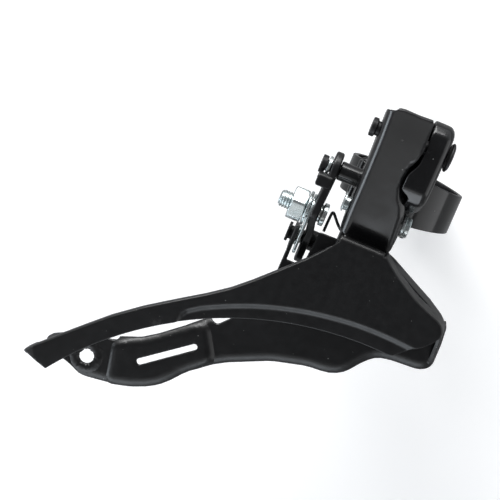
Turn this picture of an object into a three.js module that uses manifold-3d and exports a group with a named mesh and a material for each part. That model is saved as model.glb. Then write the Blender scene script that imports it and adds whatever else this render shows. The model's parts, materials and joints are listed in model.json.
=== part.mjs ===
// Front derailleur: a seat-tube clamp, a four-bar linkage and a chain cage.
// Millimetres. +Z is up along the seat tube, +X is the bicycle's forward direction,
// -Y is the chainring side. The origin is the middle of the clamp.
import * as THREE from 'three';
import { mergeVertices } from 'three/addons/utils/BufferGeometryUtils.js';
import Module from 'manifold-3d';

const wasm = await Module();
wasm.setup();

// ---- driving dimensions -------------------------------------------------
const SHEET = 1.4;
const GAP = 0.3;

const TUBE_R = 15.9;
const BAND_T = 1.3;
const BAND_R = TUBE_R + BAND_T;
const BAND_H = 10.8;
const SADDLE_H = 14;
const HINGE_AT = -135;
const BOLT_AT = 62;
const HINGE_R = BAND_R + 1.5;
const KNUCKLE_R = 2.3;
const CLAMP_BOLT_R = 2.4;
const EAR_OUT = 9;

// Pivot axes all run along X. SWING is the link's own vector, upper pivot to lower.
const SWING = { y: 8.2, z: -22.5 };
const OUTER_TOP = { y: -35, z: 16.3 };
const INNER_TOP = { y: -22, z: 1 };
const OUTER_LOW = { y: OUTER_TOP.y + SWING.y, z: OUTER_TOP.z + SWING.z };
const INNER_LOW = { y: INNER_TOP.y + SWING.y, z: INNER_TOP.z + SWING.z };
const LINK_LENGTH = Math.hypot(SWING.y, SWING.z);
const PIN_R = 2;
const RUNNING = 0.08;
const WEB_OUT = 6;

const LEFT_CHEEK = [-12.9, -11.4];
const SHELL = [-2, 4];
const BASE_BACK = -17.8;
const BASE_FRONT = -19.3;

const RING_CENTRE = { x: 5.5, z: -138.5 };
const CAGE_R = 99;
const CAGE_OUTER_Y = -36;
const CAGE_INNER_Y = -24;
const CAGE_T = 1.2;
const LIP = 2.6;
const SHELF_Z = -17;
const SEAM_Y = -30;
const TAIL_SCREW = { x: -75.6, z: -75.6 };

const LIMIT_X = [-9.1, -4.5];
const LIMIT_Y = -25.5;

const CHEEK_L = [-22.5, -20.3];
const CHEEK_R = [-9.6, -8];
const ANCHOR = { y: -22.2, z: -12.2 };
const NUT_TURN = -17;

const paint = { color: 0x121214, roughness: 0.32, metalness: 0.1 };
const matt = { color: 0x17181a, roughness: 0.6, metalness: 0.1 };
const zinc = { color: 0xc9ced2, roughness: 0.35, metalness: 0.9 };
const dark = { color: 0x1b1c1e, roughness: 0.45, metalness: 0.6 };
const steel = { color: 0x8f9295, roughness: 0.3, metalness: 0.95 };
const nylon = { color: 0x2a2a2c, roughness: 0.7, metalness: 0 };

const root = new THREE.Group();
root.name = 'front_derailleur';

// ---- helpers ------------------------------------------------------------
const rad = (degrees) => (degrees * Math.PI) / 180;

function solid(geometry) {
  const plain = new THREE.BufferGeometry();
  const source = geometry.index ? geometry.toNonIndexed() : geometry;
  plain.setAttribute('position', source.getAttribute('position'));
  const merged = mergeVertices(plain, 1e-4);
  return new wasm.Manifold(new wasm.Mesh({
    numProp: 3,
    vertProperties: new Float32Array(merged.attributes.position.array),
    triVerts: new Uint32Array(merged.index.array),
  }));
}

function add(name, manifold, look) {
  const made = manifold.getMesh();
  const geometry = new THREE.BufferGeometry();
  const places = new Float32Array(made.numVert * 3);
  for (let i = 0; i < made.numVert; i += 1) {
    places.set(made.vertProperties.subarray(i * made.numProp, i * made.numProp + 3), i * 3);
  }
  geometry.setAttribute('position', new THREE.BufferAttribute(places, 3));
  geometry.setIndex(new THREE.BufferAttribute(new Uint32Array(made.triVerts), 1));
  geometry.computeVertexNormals();
  const mesh = new THREE.Mesh(geometry, new THREE.MeshStandardMaterial(look));
  mesh.name = name;
  root.add(mesh);
}

function extruded(points, depth) {
  const shape = new THREE.Shape(points.map(([a, b]) => new THREE.Vector2(a, b)));
  return new THREE.ExtrudeGeometry(shape, { depth, bevelEnabled: false });
}

// Flat plates named by the plane of their outline: [x, y], [y, z] and [x, z] points.
const plateXY = (points, z0, z1) => solid(extruded(points, z1 - z0).translate(0, 0, z0));

function plateYZ(points, x0, x1) {
  const turn = new THREE.Matrix4().makeBasis(
    new THREE.Vector3(0, 1, 0), new THREE.Vector3(0, 0, 1), new THREE.Vector3(1, 0, 0));
  return solid(extruded(points, x1 - x0).applyMatrix4(turn).translate(x0, 0, 0));
}

const plateXZ = (points, y0, y1) => solid(
  extruded(points, y1 - y0).rotateX(Math.PI / 2).translate(0, y1, 0));

const box = (x0, x1, y0, y1, z0, z1) => solid(
  new THREE.BoxGeometry(x1 - x0, y1 - y0, z1 - z0)
    .translate((x0 + x1) / 2, (y0 + y1) / 2, (z0 + z1) / 2));

function rodX(at, r, x0, x1, sides = 24) {
  return solid(new THREE.CylinderGeometry(r, r, x1 - x0, sides)
    .rotateZ(Math.PI / 2).translate((x0 + x1) / 2, at.y, at.z));
}

function rodY(at, r, y0, y1, sides = 20) {
  return solid(new THREE.CylinderGeometry(r, r, y1 - y0, sides)
    .translate(at.x, (y0 + y1) / 2, at.z));
}

function rodZ(at, r, z0, z1, sides = 20) {
  return solid(new THREE.CylinderGeometry(r, r, z1 - z0, sides)
    .rotateX(Math.PI / 2).translate(at.x, at.y, (z0 + z1) / 2));
}

function arc(centre, r, from, to, steps) {
  const points = [];
  for (let i = 0; i <= steps; i += 1) {
    const a = rad(from + ((to - from) * i) / steps);
    points.push([centre[0] + r * Math.cos(a), centre[1] + r * Math.sin(a)]);
  }
  return points;
}

// A band round the tube between two angles, counted from +X towards +Y.
function ring(rIn, rOut, from, to, steps, z0, z1) {
  return plateXY([...arc([0, 0], rOut, from, to, steps), ...arc([0, 0], rIn, to, from, steps)],
    z0, z1);
}

// A bar in the YZ plane with round ends at two pivots.
function bar(a, b, ra, rb, x0, x1) {
  const along = Math.atan2(b.z - a.z, b.y - a.y) * (180 / Math.PI);
  return plateYZ([...arc([a.y, a.z], ra, along + 90, along + 270, 10),
    ...arc([b.y, b.z], rb, along - 90, along + 90, 10)], x0, x1);
}

// A point of the outer link: s along it from the upper pivot, out towards the chainring.
function onLink(s, out) {
  const dy = SWING.y / LINK_LENGTH;
  const dz = SWING.z / LINK_LENGTH;
  return [OUTER_TOP.y + s * dy + out * dz, OUTER_TOP.z + s * dz - out * dy];
}

// A point of the chain cage: r from the chainring's axis, angle forward from +Z.
function onCage(r, angle) {
  return [RING_CENTRE.x + r * Math.sin(rad(angle)), RING_CENTRE.z + r * Math.cos(rad(angle))];
}

function cageArc(r, from, to, steps) {
  const points = [];
  for (let i = 0; i <= steps; i += 1) points.push(onCage(r, from + ((to - from) * i) / steps));
  return points;
}

function tube(points, r, steps, sides = 8) {
  const path = new THREE.CatmullRomCurve3(points.map((p) => new THREE.Vector3(...p)));
  const round = new THREE.Shape(
    arc([0, 0], r, 0, 360 - 360 / sides, sides - 1).map(([a, b]) => new THREE.Vector2(a, b)));
  return solid(new THREE.ExtrudeGeometry(round,
    { steps, bevelEnabled: false, extrudePath: path }));
}

// ---- clamp --------------------------------------------------------------
const polar = (r, angle) => ({ x: r * Math.cos(rad(angle)), y: r * Math.sin(rad(angle)) });
const hinge = polar(HINGE_R, HINGE_AT);

// A block that lies along the radius at an angle, with one face on that radius.
function ear(side, thick, rIn, rOut, half) {
  const shape = box(rIn, rOut, side > 0 ? GAP : -GAP - thick, side > 0 ? GAP + thick : -GAP,
    -half, half);
  return shape.rotate([0, 0, BOLT_AT]);
}

function boltRod(r, t0, t1, sides = 24) {
  return rodY({ x: BAND_R + EAR_OUT / 2 + 0.4, z: 0 }, r, t0, t1, sides).rotate([0, 0, BOLT_AT]);
}

function clampSaddle() {
  const half = SADDLE_H / 2;
  let body = ring(TUBE_R, BAND_R, HINGE_AT + 12, BOLT_AT - 1, 28, -half, half);
  const taper = [[BAND_R + 3, 5.4], [BAND_R + 3, 9], [4, 9], [4, half]];
  for (const side of [1, -1]) {
    body = body.subtract(plateXZ(taper.map(([x, z]) => [x, side * z]), -20, 20));
  }
  body = body.add(box(-6.3, 4, -17.5, -15, -half, half));
  body = body.add(ear(-1, 2, BAND_R - 0.9, BAND_R + EAR_OUT, BAND_H / 2));
  body = body.subtract(boltRod(3.3, -4, 0, 24));
  const knuckle = rodZ(hinge, KNUCKLE_R, -BAND_H / 2, BAND_H / 2);
  const arm = ring(TUBE_R, BAND_R, HINGE_AT, HINGE_AT + 14, 4, -BAND_H / 2, BAND_H / 2);
  body = body.add(knuckle).add(arm);
  body = body.subtract(solid(new THREE.CylinderGeometry(TUBE_R, TUBE_R, 30, 96)
    .rotateX(Math.PI / 2)));
  const middle = rodZ(hinge, KNUCKLE_R + 0.8, -1.8, 1.8);
  const bore = rodZ(hinge, 1.1 + RUNNING, -8, 8, 16);
  for (const z of [3.2, -3.2]) {
    body = body.subtract(rodY({ x: 0, z }, 1.3, -18, -12, 12));
  }
  return body.subtract(middle).subtract(bore);
}

function clampBand() {
  const half = BAND_H / 2;
  let body = ring(TUBE_R, BAND_R, BOLT_AT + 1, 360 + HINGE_AT, 30, -half, half);
  body = body.add(rodZ(hinge, KNUCKLE_R, -1.5, 1.5));
  body = body.subtract(rodZ(hinge, KNUCKLE_R + 0.5, 1.5, half + 1));
  body = body.subtract(rodZ(hinge, KNUCKLE_R + 0.5, -half - 1, -1.5));
  body = body.subtract(solid(new THREE.CylinderGeometry(TUBE_R, TUBE_R, 30, 96)
    .rotateX(Math.PI / 2)));
  body = body.add(ear(1, 2, BAND_R - 0.9, BAND_R + EAR_OUT, half));
  body = body.subtract(boltRod(3.4, 0, 4, 24));
  return body.subtract(rodZ(hinge, 1.1 + RUNNING, -8, 8, 16));
}

function hingePin() {
  const half = BAND_H / 2;
  return rodZ(hinge, 1.1, -half - 0.2, half + 0.2, 16)
    .add(rodZ(hinge, 1.9, half + 0.2, half + 1, 16))
    .add(rodZ(hinge, 1.7, -half - 0.8, -half - 0.2, 16));
}

function clampBolt() {
  const head = boltRod(4, -5.4, -2.5, 24);
  return head.add(boltRod(CLAMP_BOLT_R, -3, 6.5, 20)).subtract(boltRod(1.9, -6, -3.8, 6));
}

function clampNut() {
  const side = 4.2;
  const at = BAND_R + EAR_OUT / 2 + 0.4;
  const block = box(at - side, at + side, GAP + 2.2, GAP + 5, -side, side);
  return block.rotate([0, 0, BOLT_AT]).subtract(boltRod(3.2, 0, 9, 24));
}

function saddleRivet(z) {
  return rodY({ x: 0, z }, 1.15, BASE_FRONT - 0.3, -16.1, 12)
    .add(rodY({ x: 0, z }, 2.2, BASE_FRONT - 1, BASE_FRONT - 0.2, 16));
}

// ---- bracket ------------------------------------------------------------
const shellSide = [[-17.8, -6.4], [-20.4, -6.2], [-22.8, -4.2], [-25.6, -2], [-29, -1.8],
  [-31.8, -0.6], [-37.2, 2.6], [-39.2, 5.6], [-39.8, 10], [-40, 17.5],
  [-39.3, 21], [-37.6, 23.3], [-34.8, 24.2], [-30, 23.2], [-17.8, 20.4]];

function inset(points, amount) {
  const middle = points.reduce((m, [a, b]) => [m[0] + a / points.length, m[1] + b / points.length],
    [0, 0]);
  return points.map(([a, b]) => {
    const reach = Math.hypot(a - middle[0], b - middle[1]);
    const keep = (reach - amount) / reach;
    return [middle[0] + (a - middle[0]) * keep, middle[1] + (b - middle[1]) * keep];
  });
}

function bracketShell() {
  const outer = plateYZ(shellSide, SHELL[0], SHELL[1]);
  const inner = plateYZ(inset(shellSide, 1.7), SHELL[0] - 1, SHELL[1] - SHEET);
  let shell = outer.subtract(inner);
  const corner = [[2.2, 25], [5, 25], [5, 21.2], [4, 21.2]];
  shell = shell.subtract(plateXZ(corner, -45, -24));
  return shell.subtract(box(SHELL[0] - 1, SHELL[1] - SHEET, -36, -19.3, -8, 4));
}

function leftCheek() {
  const outline = [[BASE_BACK, 20.4], [BASE_BACK, 6.4], [-18.6, 3.6],
    ...arc([INNER_TOP.y, INNER_TOP.z], 3.5, 0, -110, 6), [-26.4, 4.4], [-31.6, 9.6],
    ...arc([OUTER_TOP.y, OUTER_TOP.z], 4.2, 250, 80, 8), [-30, 20.4]];
  return plateYZ(outline, ...LEFT_CHEEK);
}

function bracket() {
  const right = SHELL[1];
  let body = leftCheek().add(bracketShell());
  body = body.add(box(LEFT_CHEEK[0], right, BASE_FRONT, BASE_BACK, 6.4, 20.4));
  body = body.add(box(-6.3, right, BASE_FRONT, BASE_BACK, -6.4, 6.5));
  body = body.add(box(LEFT_CHEEK[0], SHELL[0] + 0.5, -30, BASE_BACK, 19, 20.4));
  body = body.add(rodX(INNER_TOP, 2.35 + 0.35, -20, -9.9, 28));
  body = body.subtract(rodX(INNER_TOP, 1.6 + RUNNING, -21, -9, 20));
  body = body.subtract(rodX(OUTER_TOP, PIN_R + RUNNING, -14, 6, 24));
  for (const x of LIMIT_X) body = body.subtract(rodZ({ x, y: LIMIT_Y }, 1.6, 18, 21.5, 16));
  for (const z of [3.2, -3.2]) {
    body = body.subtract(rodY({ x: 0, z }, 1.3, -20, -17, 12));
  }
  return body;
}

// ---- limit screws -------------------------------------------------------
function limitScrew(x) {
  const at = { x, y: LIMIT_Y };
  const head = rodZ(at, 2.1, 20.8, 23.2, 20);
  const slot = box(x - 3, x + 3, LIMIT_Y - 0.35, LIMIT_Y + 0.35, 22.2, 24);
  const cross = box(x - 0.35, x + 0.35, LIMIT_Y - 3, LIMIT_Y + 3, 22.2, 24);
  return head.add(rodZ(at, 1.5, 10.5, 21, 16)).subtract(slot).subtract(cross);
}

// ---- links --------------------------------------------------------------
// The pressed outer link is drawn flat, [x, s], then stood up on the linkage's own slope.
function linkPlate(points, out0, out1) {
  const flat = extruded(points, out1 - out0);
  const dy = SWING.y / LINK_LENGTH;
  const dz = SWING.z / LINK_LENGTH;
  const stand = new THREE.Matrix4().makeBasis(
    new THREE.Vector3(1, 0, 0), new THREE.Vector3(0, dy, dz), new THREE.Vector3(0, -dz, dy));
  const [y, z] = onLink(0, out1);
  return solid(flat.applyMatrix4(stand).translate(0, y, z));
}

function outerLink() {
  const web = [[-14.6, -8.4], [-13.4, -9.9], [-4, -9.9], [-3, -9.2], [-2.5, 2], [-4.6, 4.6],
    [-4.8, 8.6], [-3.9, 12.4], [-1.6, 15.6], [1.4, 17.2], [2, 24], [2.2, 28], [0.8, 30.6],
    [-11.9, 30.6], [-12.9, 24], [-13.3, 18], [-14, 8]];
  let body = linkPlate(web, WEB_OUT - SHEET, WEB_OUT);
  const flange = [onLink(-8.4, 5.4), onLink(-6.5, 0.4), onLink(-4.4, -3), onLink(3, -3.8),
    onLink(9, -2), onLink(15, -2), onLink(21, -3.8), onLink(26, -3.6), onLink(28.6, 0.5),
    onLink(30, 5.4)];
  body = body.add(plateYZ(flange, -15.3, -13.9));
  const seam = [[-15.3, -8.4], [-13.9, -9.2], [-12.8, 22], [-12.2, 29], [-13.4, 30], [-15.3, 30]];
  body = body.add(linkPlate(seam, WEB_OUT - SHEET, WEB_OUT - 0.2));
  const upper = [onLink(-4.2, 5.2), onLink(-4.2, 0), onLink(-3, -3), onLink(0, -4.2),
    onLink(3, -3), onLink(4.2, 0), onLink(4.4, 5.2)];
  body = body.add(plateYZ(upper, -4.2, -3));
  const lower = [onLink(19, 5.2), onLink(20, 0), onLink(21.6, -3.2), onLink(24, -4.2),
    onLink(26.6, -3.2), onLink(28.2, 0), onLink(29, 5.2)];
  body = body.add(plateYZ(lower, 0, 1.2));
  body = body.subtract(rodX(OUTER_TOP, PIN_R + RUNNING, -16, -2, 24));
  return body.subtract(rodX(OUTER_LOW, PIN_R + RUNNING, -16, 2, 24));
}

function innerLink() {
  const eyeTop = arc([INNER_TOP.y, INNER_TOP.z], 4.8, 20, 190, 10);
  const outline = [...eyeTop, [-28, -5.6], [-27.6, -13.2], [-23, -16.8], [-18, -22],
    [-16.8, -27.4], [-15.2, -28.6], [-11.6, -28.6], [-10.4, -27.4], [-10.2, -20], [-12.4, -16],
    [-16.6, -8.4]];
  let body = plateYZ(outline, ...CHEEK_L);
  body = body.add(rodX(INNER_LOW, 3, CHEEK_L[1] - 0.2, CHEEK_R[0] + 0.2, 24));
  body = body.add(bar(INNER_TOP, INNER_LOW, 3.3, 3.3, ...CHEEK_R));
  const tab = [[-23.2, -2.1], [-25.6, -0.8], [-27.2, -1.3], [-27.9, -4.6], [-26.7, -4.6],
    [-26.2, -2.4], [-25.6, -2.1], [-23.2, -3.4]];
  body = body.add(plateYZ(tab, -25.2, -21.4));
  body = body.subtract(rodX(INNER_TOP, 1.6 + RUNNING, -24, -7, 20));
  body = body.subtract(rodX(INNER_LOW, PIN_R + RUNNING, -24, -7, 24));
  return body.subtract(rodX(ANCHOR, 2.65, -24, -19, 20));
}

// ---- pivots -------------------------------------------------------------
function upperOuterPin() {
  return rodX(OUTER_TOP, PIN_R, -16.6, 4.2).add(rodX(OUTER_TOP, 2.6, -17.4, -15.9));
}

function upperOuterCap() {
  return rodX(OUTER_TOP, 4, 4.5, 5.6, 28);
}

function lowerOuterPin() {
  return rodX(OUTER_LOW, PIN_R, -15.9, 3).add(rodX(OUTER_LOW, 2.9, 2.4, 3.6, 24));
}

function washer(at, rIn, rOut, x0, x1) {
  return rodX(at, rOut, x0, x1, 24).subtract(rodX(at, rIn, x0 - 1, x1 + 1, 20));
}

// A retaining clip: a ring open on one side, sprung into a groove of its pin.
function clip(at, rIn, rOut, x0, x1) {
  const mouth = box(x0 - 1, x1 + 1, at.y - rIn * 0.7, at.y + rIn * 0.7, at.z - rOut - 1, at.z);
  return washer(at, rIn, rOut, x0, x1).subtract(mouth);
}

function upperInnerPin() {
  const body = rodX(INNER_TOP, 1.6, -24.4, -6.4, 20).add(rodX(INNER_TOP, 2.6, -25.6, -23.9));
  return body.subtract(washer(INNER_TOP, 1.2, 2, -7.6, -6.9));
}

function lowerInnerPin() {
  const body = rodX(INNER_LOW, PIN_R, -26.2, -4.6).add(rodX(INNER_LOW, 2.9, -26.8, -25.9));
  return body.subtract(washer(INNER_LOW, 1.5, 2.4, -6, -5.3));
}

// ---- return spring ------------------------------------------------------
function returnSpring() {
  const turns = 5;
  const coil = 3;
  const points = [];
  for (let i = 0; i <= turns * 10; i += 1) {
    const a = rad(200 - i * 36);
    points.push([-4.2 - (5.6 * i) / (turns * 10), OUTER_LOW.y + coil * Math.cos(a),
      OUTER_LOW.z + coil * Math.sin(a)]);
  }
  const [y, z] = onLink(15, 3.9);
  points.unshift([-3.7, y, z], [-3.8, OUTER_LOW.y - 3.1, OUTER_LOW.z + 2.8]);
  points.push([-10.5, -26, -9.7], [-11, -22.6, -10.6], [-13, -21, -11.6], [-16, -19.8, -13.6],
    [-17, -17.4, -17]);
  return tube(points, 0.55, 110, 7);
}

// ---- cable anchor -------------------------------------------------------
function anchorBolt() {
  return rodX(ANCHOR, 2.5, -32.6, -19.6, 20).add(rodX(ANCHOR, 3.3, -20, -18.6, 24));
}

function anchorNut() {
  const hex = new THREE.CylinderGeometry(5.2, 5.2, 4.2, 6).rotateY(rad(NUT_TURN))
    .rotateZ(Math.PI / 2).translate(-27.1, ANCHOR.y, ANCHOR.z);
  return solid(hex).subtract(rodX(ANCHOR, 2.62, -31, -24, 20));
}

function cableClampPlate() {
  const outline = [...arc([ANCHOR.y, ANCHOR.z], 4.6, 0, 180, 10),
    [ANCHOR.y - 4.6, -24], [ANCHOR.y - 3.4, -25], [ANCHOR.y + 0.2, -25], [ANCHOR.y + 0.6, -17.6],
    [ANCHOR.y + 3.4, -15.4]];
  const groove = rodX(ANCHOR, 0.9, -24, -22.7, 12).translate(0, 3.6, 0);
  const plate = plateYZ(outline, -23.6, -22.8).subtract(groove);
  return plate.subtract(rodX(ANCHOR, 2.65, -25, -22, 20));
}

// ---- cage ---------------------------------------------------------------
function cageOuterPlate() {
  const outline = [...cageArc(CAGE_R, -54.2, 4, 34), [17, -35], [20.4, -32.4], [21.9, -29.8],
    [21.8, -27.6], [20.4, -25.6], [17.4, -24], [11, -21.4], [4.2, -17.4], [0.2, -14.4],
    [-12.9, -14.4], [-18.9, -21.7], [-23.9, -27.3], [-30.6, -34.2], [-36, -39.2],
    ...cageArc(105.5, -27, -53.4, 12), [-82.4, -77.4]];
  let plate = plateXZ(outline, CAGE_OUTER_Y, CAGE_OUTER_Y + CAGE_T);
  const edge = [...cageArc(105.4, -52.4, -27, 12), [-36, -39.4], [-30.6, -34.4], [-23.9, -27.5],
    [-18.9, -21.9], [-18.1, -22.6], [-23.1, -28.2], [-29.8, -35.1], [-35.3, -40.2],
    ...cageArc(104.2, -27, -52.4, 12)];
  plate = plate.add(plateXZ(edge, CAGE_OUTER_Y + 0.5, CAGE_OUTER_Y + LIP));
  const band = [...cageArc(CAGE_R - 1, -29.5, 8, 20), ...cageArc(103.6, 8, -27.4, 20)];
  plate = plate.subtract(plateXZ(band, CAGE_OUTER_Y - 1, CAGE_OUTER_Y + 0.5));
  const crest = [[CAGE_OUTER_Y, -14.4], [CAGE_OUTER_Y, -18], [CAGE_OUTER_Y + 2.4, -18],
    [CAGE_OUTER_Y + 2.4, -16], [CAGE_OUTER_Y + 1.2, -14.4]];
  plate = plate.add(plateYZ(crest, -13.5, 0.2));
  plate = plate.add(box(-13.4, -0.8, CAGE_OUTER_Y + 1, CAGE_INNER_Y - 0.9, SHELF_Z - SHEET,
    SHELF_Z));
  const lug = [...arc([OUTER_LOW.y, OUTER_LOW.z], 3.5, 0, 180, 10), [-28.3, -14.1],
    [-28.3, SHELF_Z - 0.7], [-24.9, SHELF_Z - 0.7], [-23.3, -9.6]];
  plate = plate.add(plateYZ(lug, -13.4, -12)).add(plateYZ(lug, -2.2, -0.8));
  const wall = [[0.2, -14.4], [4.2, -17.4], [11, -21.4], [17.4, -24], [20.4, -25.6], [21.8, -27.6],
    [20.5, -28], [19.6, -26.6], [16.8, -25.2], [10.4, -22.6], [3.4, -18.4], [-0.8, -15.4]];
  plate = plate.add(plateXZ(wall, CAGE_OUTER_Y, SEAM_Y - GAP / 2));
  return plate.subtract(rodX(OUTER_LOW, PIN_R + RUNNING, -15, 1, 24));
}

function cageInnerPlate() {
  const inner = CAGE_INNER_Y;
  const outline = [[-79.6, -75.6], [-75.4, -79.2], [-71.8, -79.1], [-66.9, -81.4], [-64.7, -81.2],
    [-57.9, -80.3], [-51.7, -78.8], [-46.4, -76.5], [-42.8, -73.7], [-38.7, -68.4], [-34, -64.6],
    ...cageArc(84.6, -23.9, -5, 10), [0.3, -52.9], [3, -51.3], [6.4, -46.4], [9.5, -43.4],
    [12.9, -42.5], [22.6, -41.8], [24.8, -40.1], [25.2, -34.4], [23.8, -27.7], [20, -24.6],
    [13, -20.7], [4.8, -16.9], [-18.5, -16.9], [-19.4, -27.6], [-24.1, -27.6], [-24.1, -17.7],
    [-25.2, -17.7], [-25.2, -30], [-30, -36], [-34, -41],
    ...cageArc(100.4, -28, -40, 6), ...cageArc(99.6, -44, -48, 2), [-77.5, -73.6]];
  let plate = plateXZ(outline, inner - CAGE_T / 2, inner + CAGE_T / 2);
  plate = plate.add(frontBridge());
  const boss = [...cageArc(85.6, -43.5, -28.5, 8), ...cageArc(93, -28.5, -43.5, 8)];
  plate = plate.add(plateXZ(boss, inner - CAGE_T / 2 - 0.8, inner));
  const slot = [[-51.4, -72.2], [-37.9, -61.5], [-38.9, -60], [-52.2, -70.5]];
  plate = plate.subtract(plateXZ(slot, inner - 5, inner + 5));
  plate = plate.subtract(rodY({ x: -66.3, z: -75.9 }, 2.1, inner - 4, inner + 4, 24));
  plate = plate.subtract(rodY(TAIL_SCREW, 1.6, -30, -20, 16));
  const lug = [...arc([INNER_LOW.y, INNER_LOW.z], 3.5, -90, 90, 10),
    [inner, INNER_LOW.z + 3.8], [inner, INNER_LOW.z - 5]];
  plate = plate.add(plateYZ(lug, -25.2, -24.1)).add(plateYZ(lug, -7.7, -6.5));
  return plate.subtract(rodX(INNER_LOW, PIN_R + 0.25, -27, -5, 24));
}

// The inner plate's half of the wall that closes the cage's front.
function frontBridge() {
  const path = [[4.8, -16.9], [13, -20.7], [20, -24.6], [23.8, -27.7], [25.2, -34.4],
    [24.8, -40.1], [22.6, -41.8]];
  const inward = [[21.4, -40.8], [23.3, -39], [23.8, -34.2], [22.6, -28.5], [19.2, -26.1],
    [12.4, -22.1], [4.2, -18.3]];
  return plateXZ([...path, ...inward], SEAM_Y + GAP / 2, CAGE_INNER_Y);
}

function tailSpacer() {
  return rodY(TAIL_SCREW, 2.8, CAGE_OUTER_Y + LIP + GAP, CAGE_INNER_Y - CAGE_T / 2 - GAP, 20)
    .subtract(rodY(TAIL_SCREW, 1.6, -40, -20, 16));
}

function tailScrew() {
  const back = CAGE_INNER_Y + CAGE_T / 2;
  return rodY(TAIL_SCREW, 1.45, CAGE_OUTER_Y + CAGE_T + GAP, back + 0.4, 16)
    .add(rodY(TAIL_SCREW, 2.5, back + 0.2, back + 1.6, 20));
}

// ---- assembly -----------------------------------------------------------
add('clamp_saddle', clampSaddle(), paint);
add('clamp_band', clampBand(), paint);
add('clamp_hinge_pin', hingePin(), dark);
add('clamp_bolt', clampBolt(), zinc);
add('clamp_nut', clampNut(), zinc);
add('saddle_rivet_upper', saddleRivet(3.2), dark);
add('saddle_rivet_lower', saddleRivet(-3.2), dark);
add('bracket', bracket(), paint);
LIMIT_X.forEach((x, i) => add(['low_limit_screw', 'high_limit_screw'][i], limitScrew(x), dark));
add('outer_link', outerLink(), paint);
add('inner_link', innerLink(), matt);
add('upper_outer_pin', upperOuterPin(), dark);
add('upper_outer_cap', upperOuterCap(), dark);
add('lower_outer_pin', lowerOuterPin(), zinc);
add('lower_outer_washer', washer(OUTER_LOW, PIN_R + RUNNING, 3.1, 1.4, 2.2), zinc);
add('lower_outer_clip', clip(OUTER_LOW, PIN_R + RUNNING, 3.2, -15.9, -15.5), zinc);
add('upper_inner_pin', upperInnerPin(), dark);
add('upper_inner_washer', washer(INNER_TOP, 1.7, 2.8, -23.6, -22.8), zinc);
add('upper_inner_clip', clip(INNER_TOP, 1.25, 2.6, -7.5, -7), steel);
add('lower_inner_pin', lowerInnerPin(), dark);
add('lower_inner_washer', washer(INNER_LOW, PIN_R + 0.1, 3, -23.9, -22.8), zinc);
add('lower_inner_clip', clip(INNER_LOW, 1.55, 3, -5.9, -5.4), steel);
add('return_spring', returnSpring(), steel);
add('cable_anchor_bolt', anchorBolt(), zinc);
add('cable_anchor_nut', anchorNut(), zinc);
add('cable_anchor_washer', washer(ANCHOR, 2.62, 5, -24.7, -23.9), zinc);
add('cable_clamp_plate', cableClampPlate(), zinc);
add('cage_outer_plate', cageOuterPlate(), matt);
add('cage_inner_plate', cageInnerPlate(), matt);
add('cage_tail_spacer', tailSpacer(), nylon);
add('cage_tail_screw', tailScrew(), dark);

export default root;
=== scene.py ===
"""Looks for the front derailleur.

Lengths are millimetres in the pieces and the camera's place, and metres in the materials, the lights and
the stage.
"""

import math

import json

import bmesh
import bpy
import numpy as np
from mathutils import Matrix, Vector
from mathutils.geometry import delaunay_2d_cdt


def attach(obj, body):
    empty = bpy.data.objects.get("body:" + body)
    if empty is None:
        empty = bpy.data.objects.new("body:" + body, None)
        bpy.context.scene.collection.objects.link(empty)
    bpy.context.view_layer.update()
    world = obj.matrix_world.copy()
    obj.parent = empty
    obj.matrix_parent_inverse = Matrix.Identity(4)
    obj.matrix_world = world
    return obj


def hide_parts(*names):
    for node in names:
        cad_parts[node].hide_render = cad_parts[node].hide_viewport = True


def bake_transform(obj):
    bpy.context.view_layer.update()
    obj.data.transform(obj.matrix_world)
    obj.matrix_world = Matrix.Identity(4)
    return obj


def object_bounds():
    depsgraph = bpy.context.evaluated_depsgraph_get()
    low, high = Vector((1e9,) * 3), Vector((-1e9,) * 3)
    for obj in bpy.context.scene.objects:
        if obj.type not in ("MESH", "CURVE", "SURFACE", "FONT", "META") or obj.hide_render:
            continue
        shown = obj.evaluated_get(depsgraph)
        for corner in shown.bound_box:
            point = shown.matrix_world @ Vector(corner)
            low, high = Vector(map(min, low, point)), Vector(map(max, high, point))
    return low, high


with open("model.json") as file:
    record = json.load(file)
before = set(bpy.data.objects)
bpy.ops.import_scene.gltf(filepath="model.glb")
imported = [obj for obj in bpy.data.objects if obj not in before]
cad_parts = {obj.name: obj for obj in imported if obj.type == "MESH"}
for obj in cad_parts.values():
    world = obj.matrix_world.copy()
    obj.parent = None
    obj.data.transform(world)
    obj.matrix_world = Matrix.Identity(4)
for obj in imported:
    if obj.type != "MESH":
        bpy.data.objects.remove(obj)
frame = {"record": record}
CAD_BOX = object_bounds()
MM = 0.001
HALF_PI = math.pi / 2
BODY_OF = {node: body for body, nodes in frame["record"]["behaviour"]["bodies"].items()
           for node in nodes}
SLOT_OF = {part["node"]: part["material_slot"] for part in frame["record"]["subparts"]}

# Linkage and clamp dimensions, repeated from the CAD source. A pair is (y, z), but TAIL is (x, z),
# SWING goes from an upper pivot to the lower one, and angles are in degrees.
SWING = np.array([8.2, -22.5])
LINK_LENGTH = float(np.hypot(*SWING))
ALONG = SWING / LINK_LENGTH
OUTWARD = np.array([ALONG[1], -ALONG[0]])
OUTER_TOP = np.array([-35.0, 16.3])
INNER_TOP = np.array([-22.0, 1.0])
OUTER_LOW = OUTER_TOP + SWING
INNER_LOW = INNER_TOP + SWING
RING_X, RING_Z = 5.5, -138.5
TUBE_R, BAND_R, BAND_HALF, EAR_END = 15.9, 17.2, 5.4, 9.0
HINGE_R, HINGE_AT, BOLT_AT = 18.7, -135, 62
BOLT_OUT = BAND_R + 4.9
ANCHOR = np.array([-22.2, -12.2])
NUT_TURN = -17
TAIL = (-75.6, -75.6)
LIMIT_X, LIMIT_Y = (-9.1, -4.5), -25.5
PIVOT_BORE, TOP_BORE = 2.08, 1.68
RIVET_Z = 3.2


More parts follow.
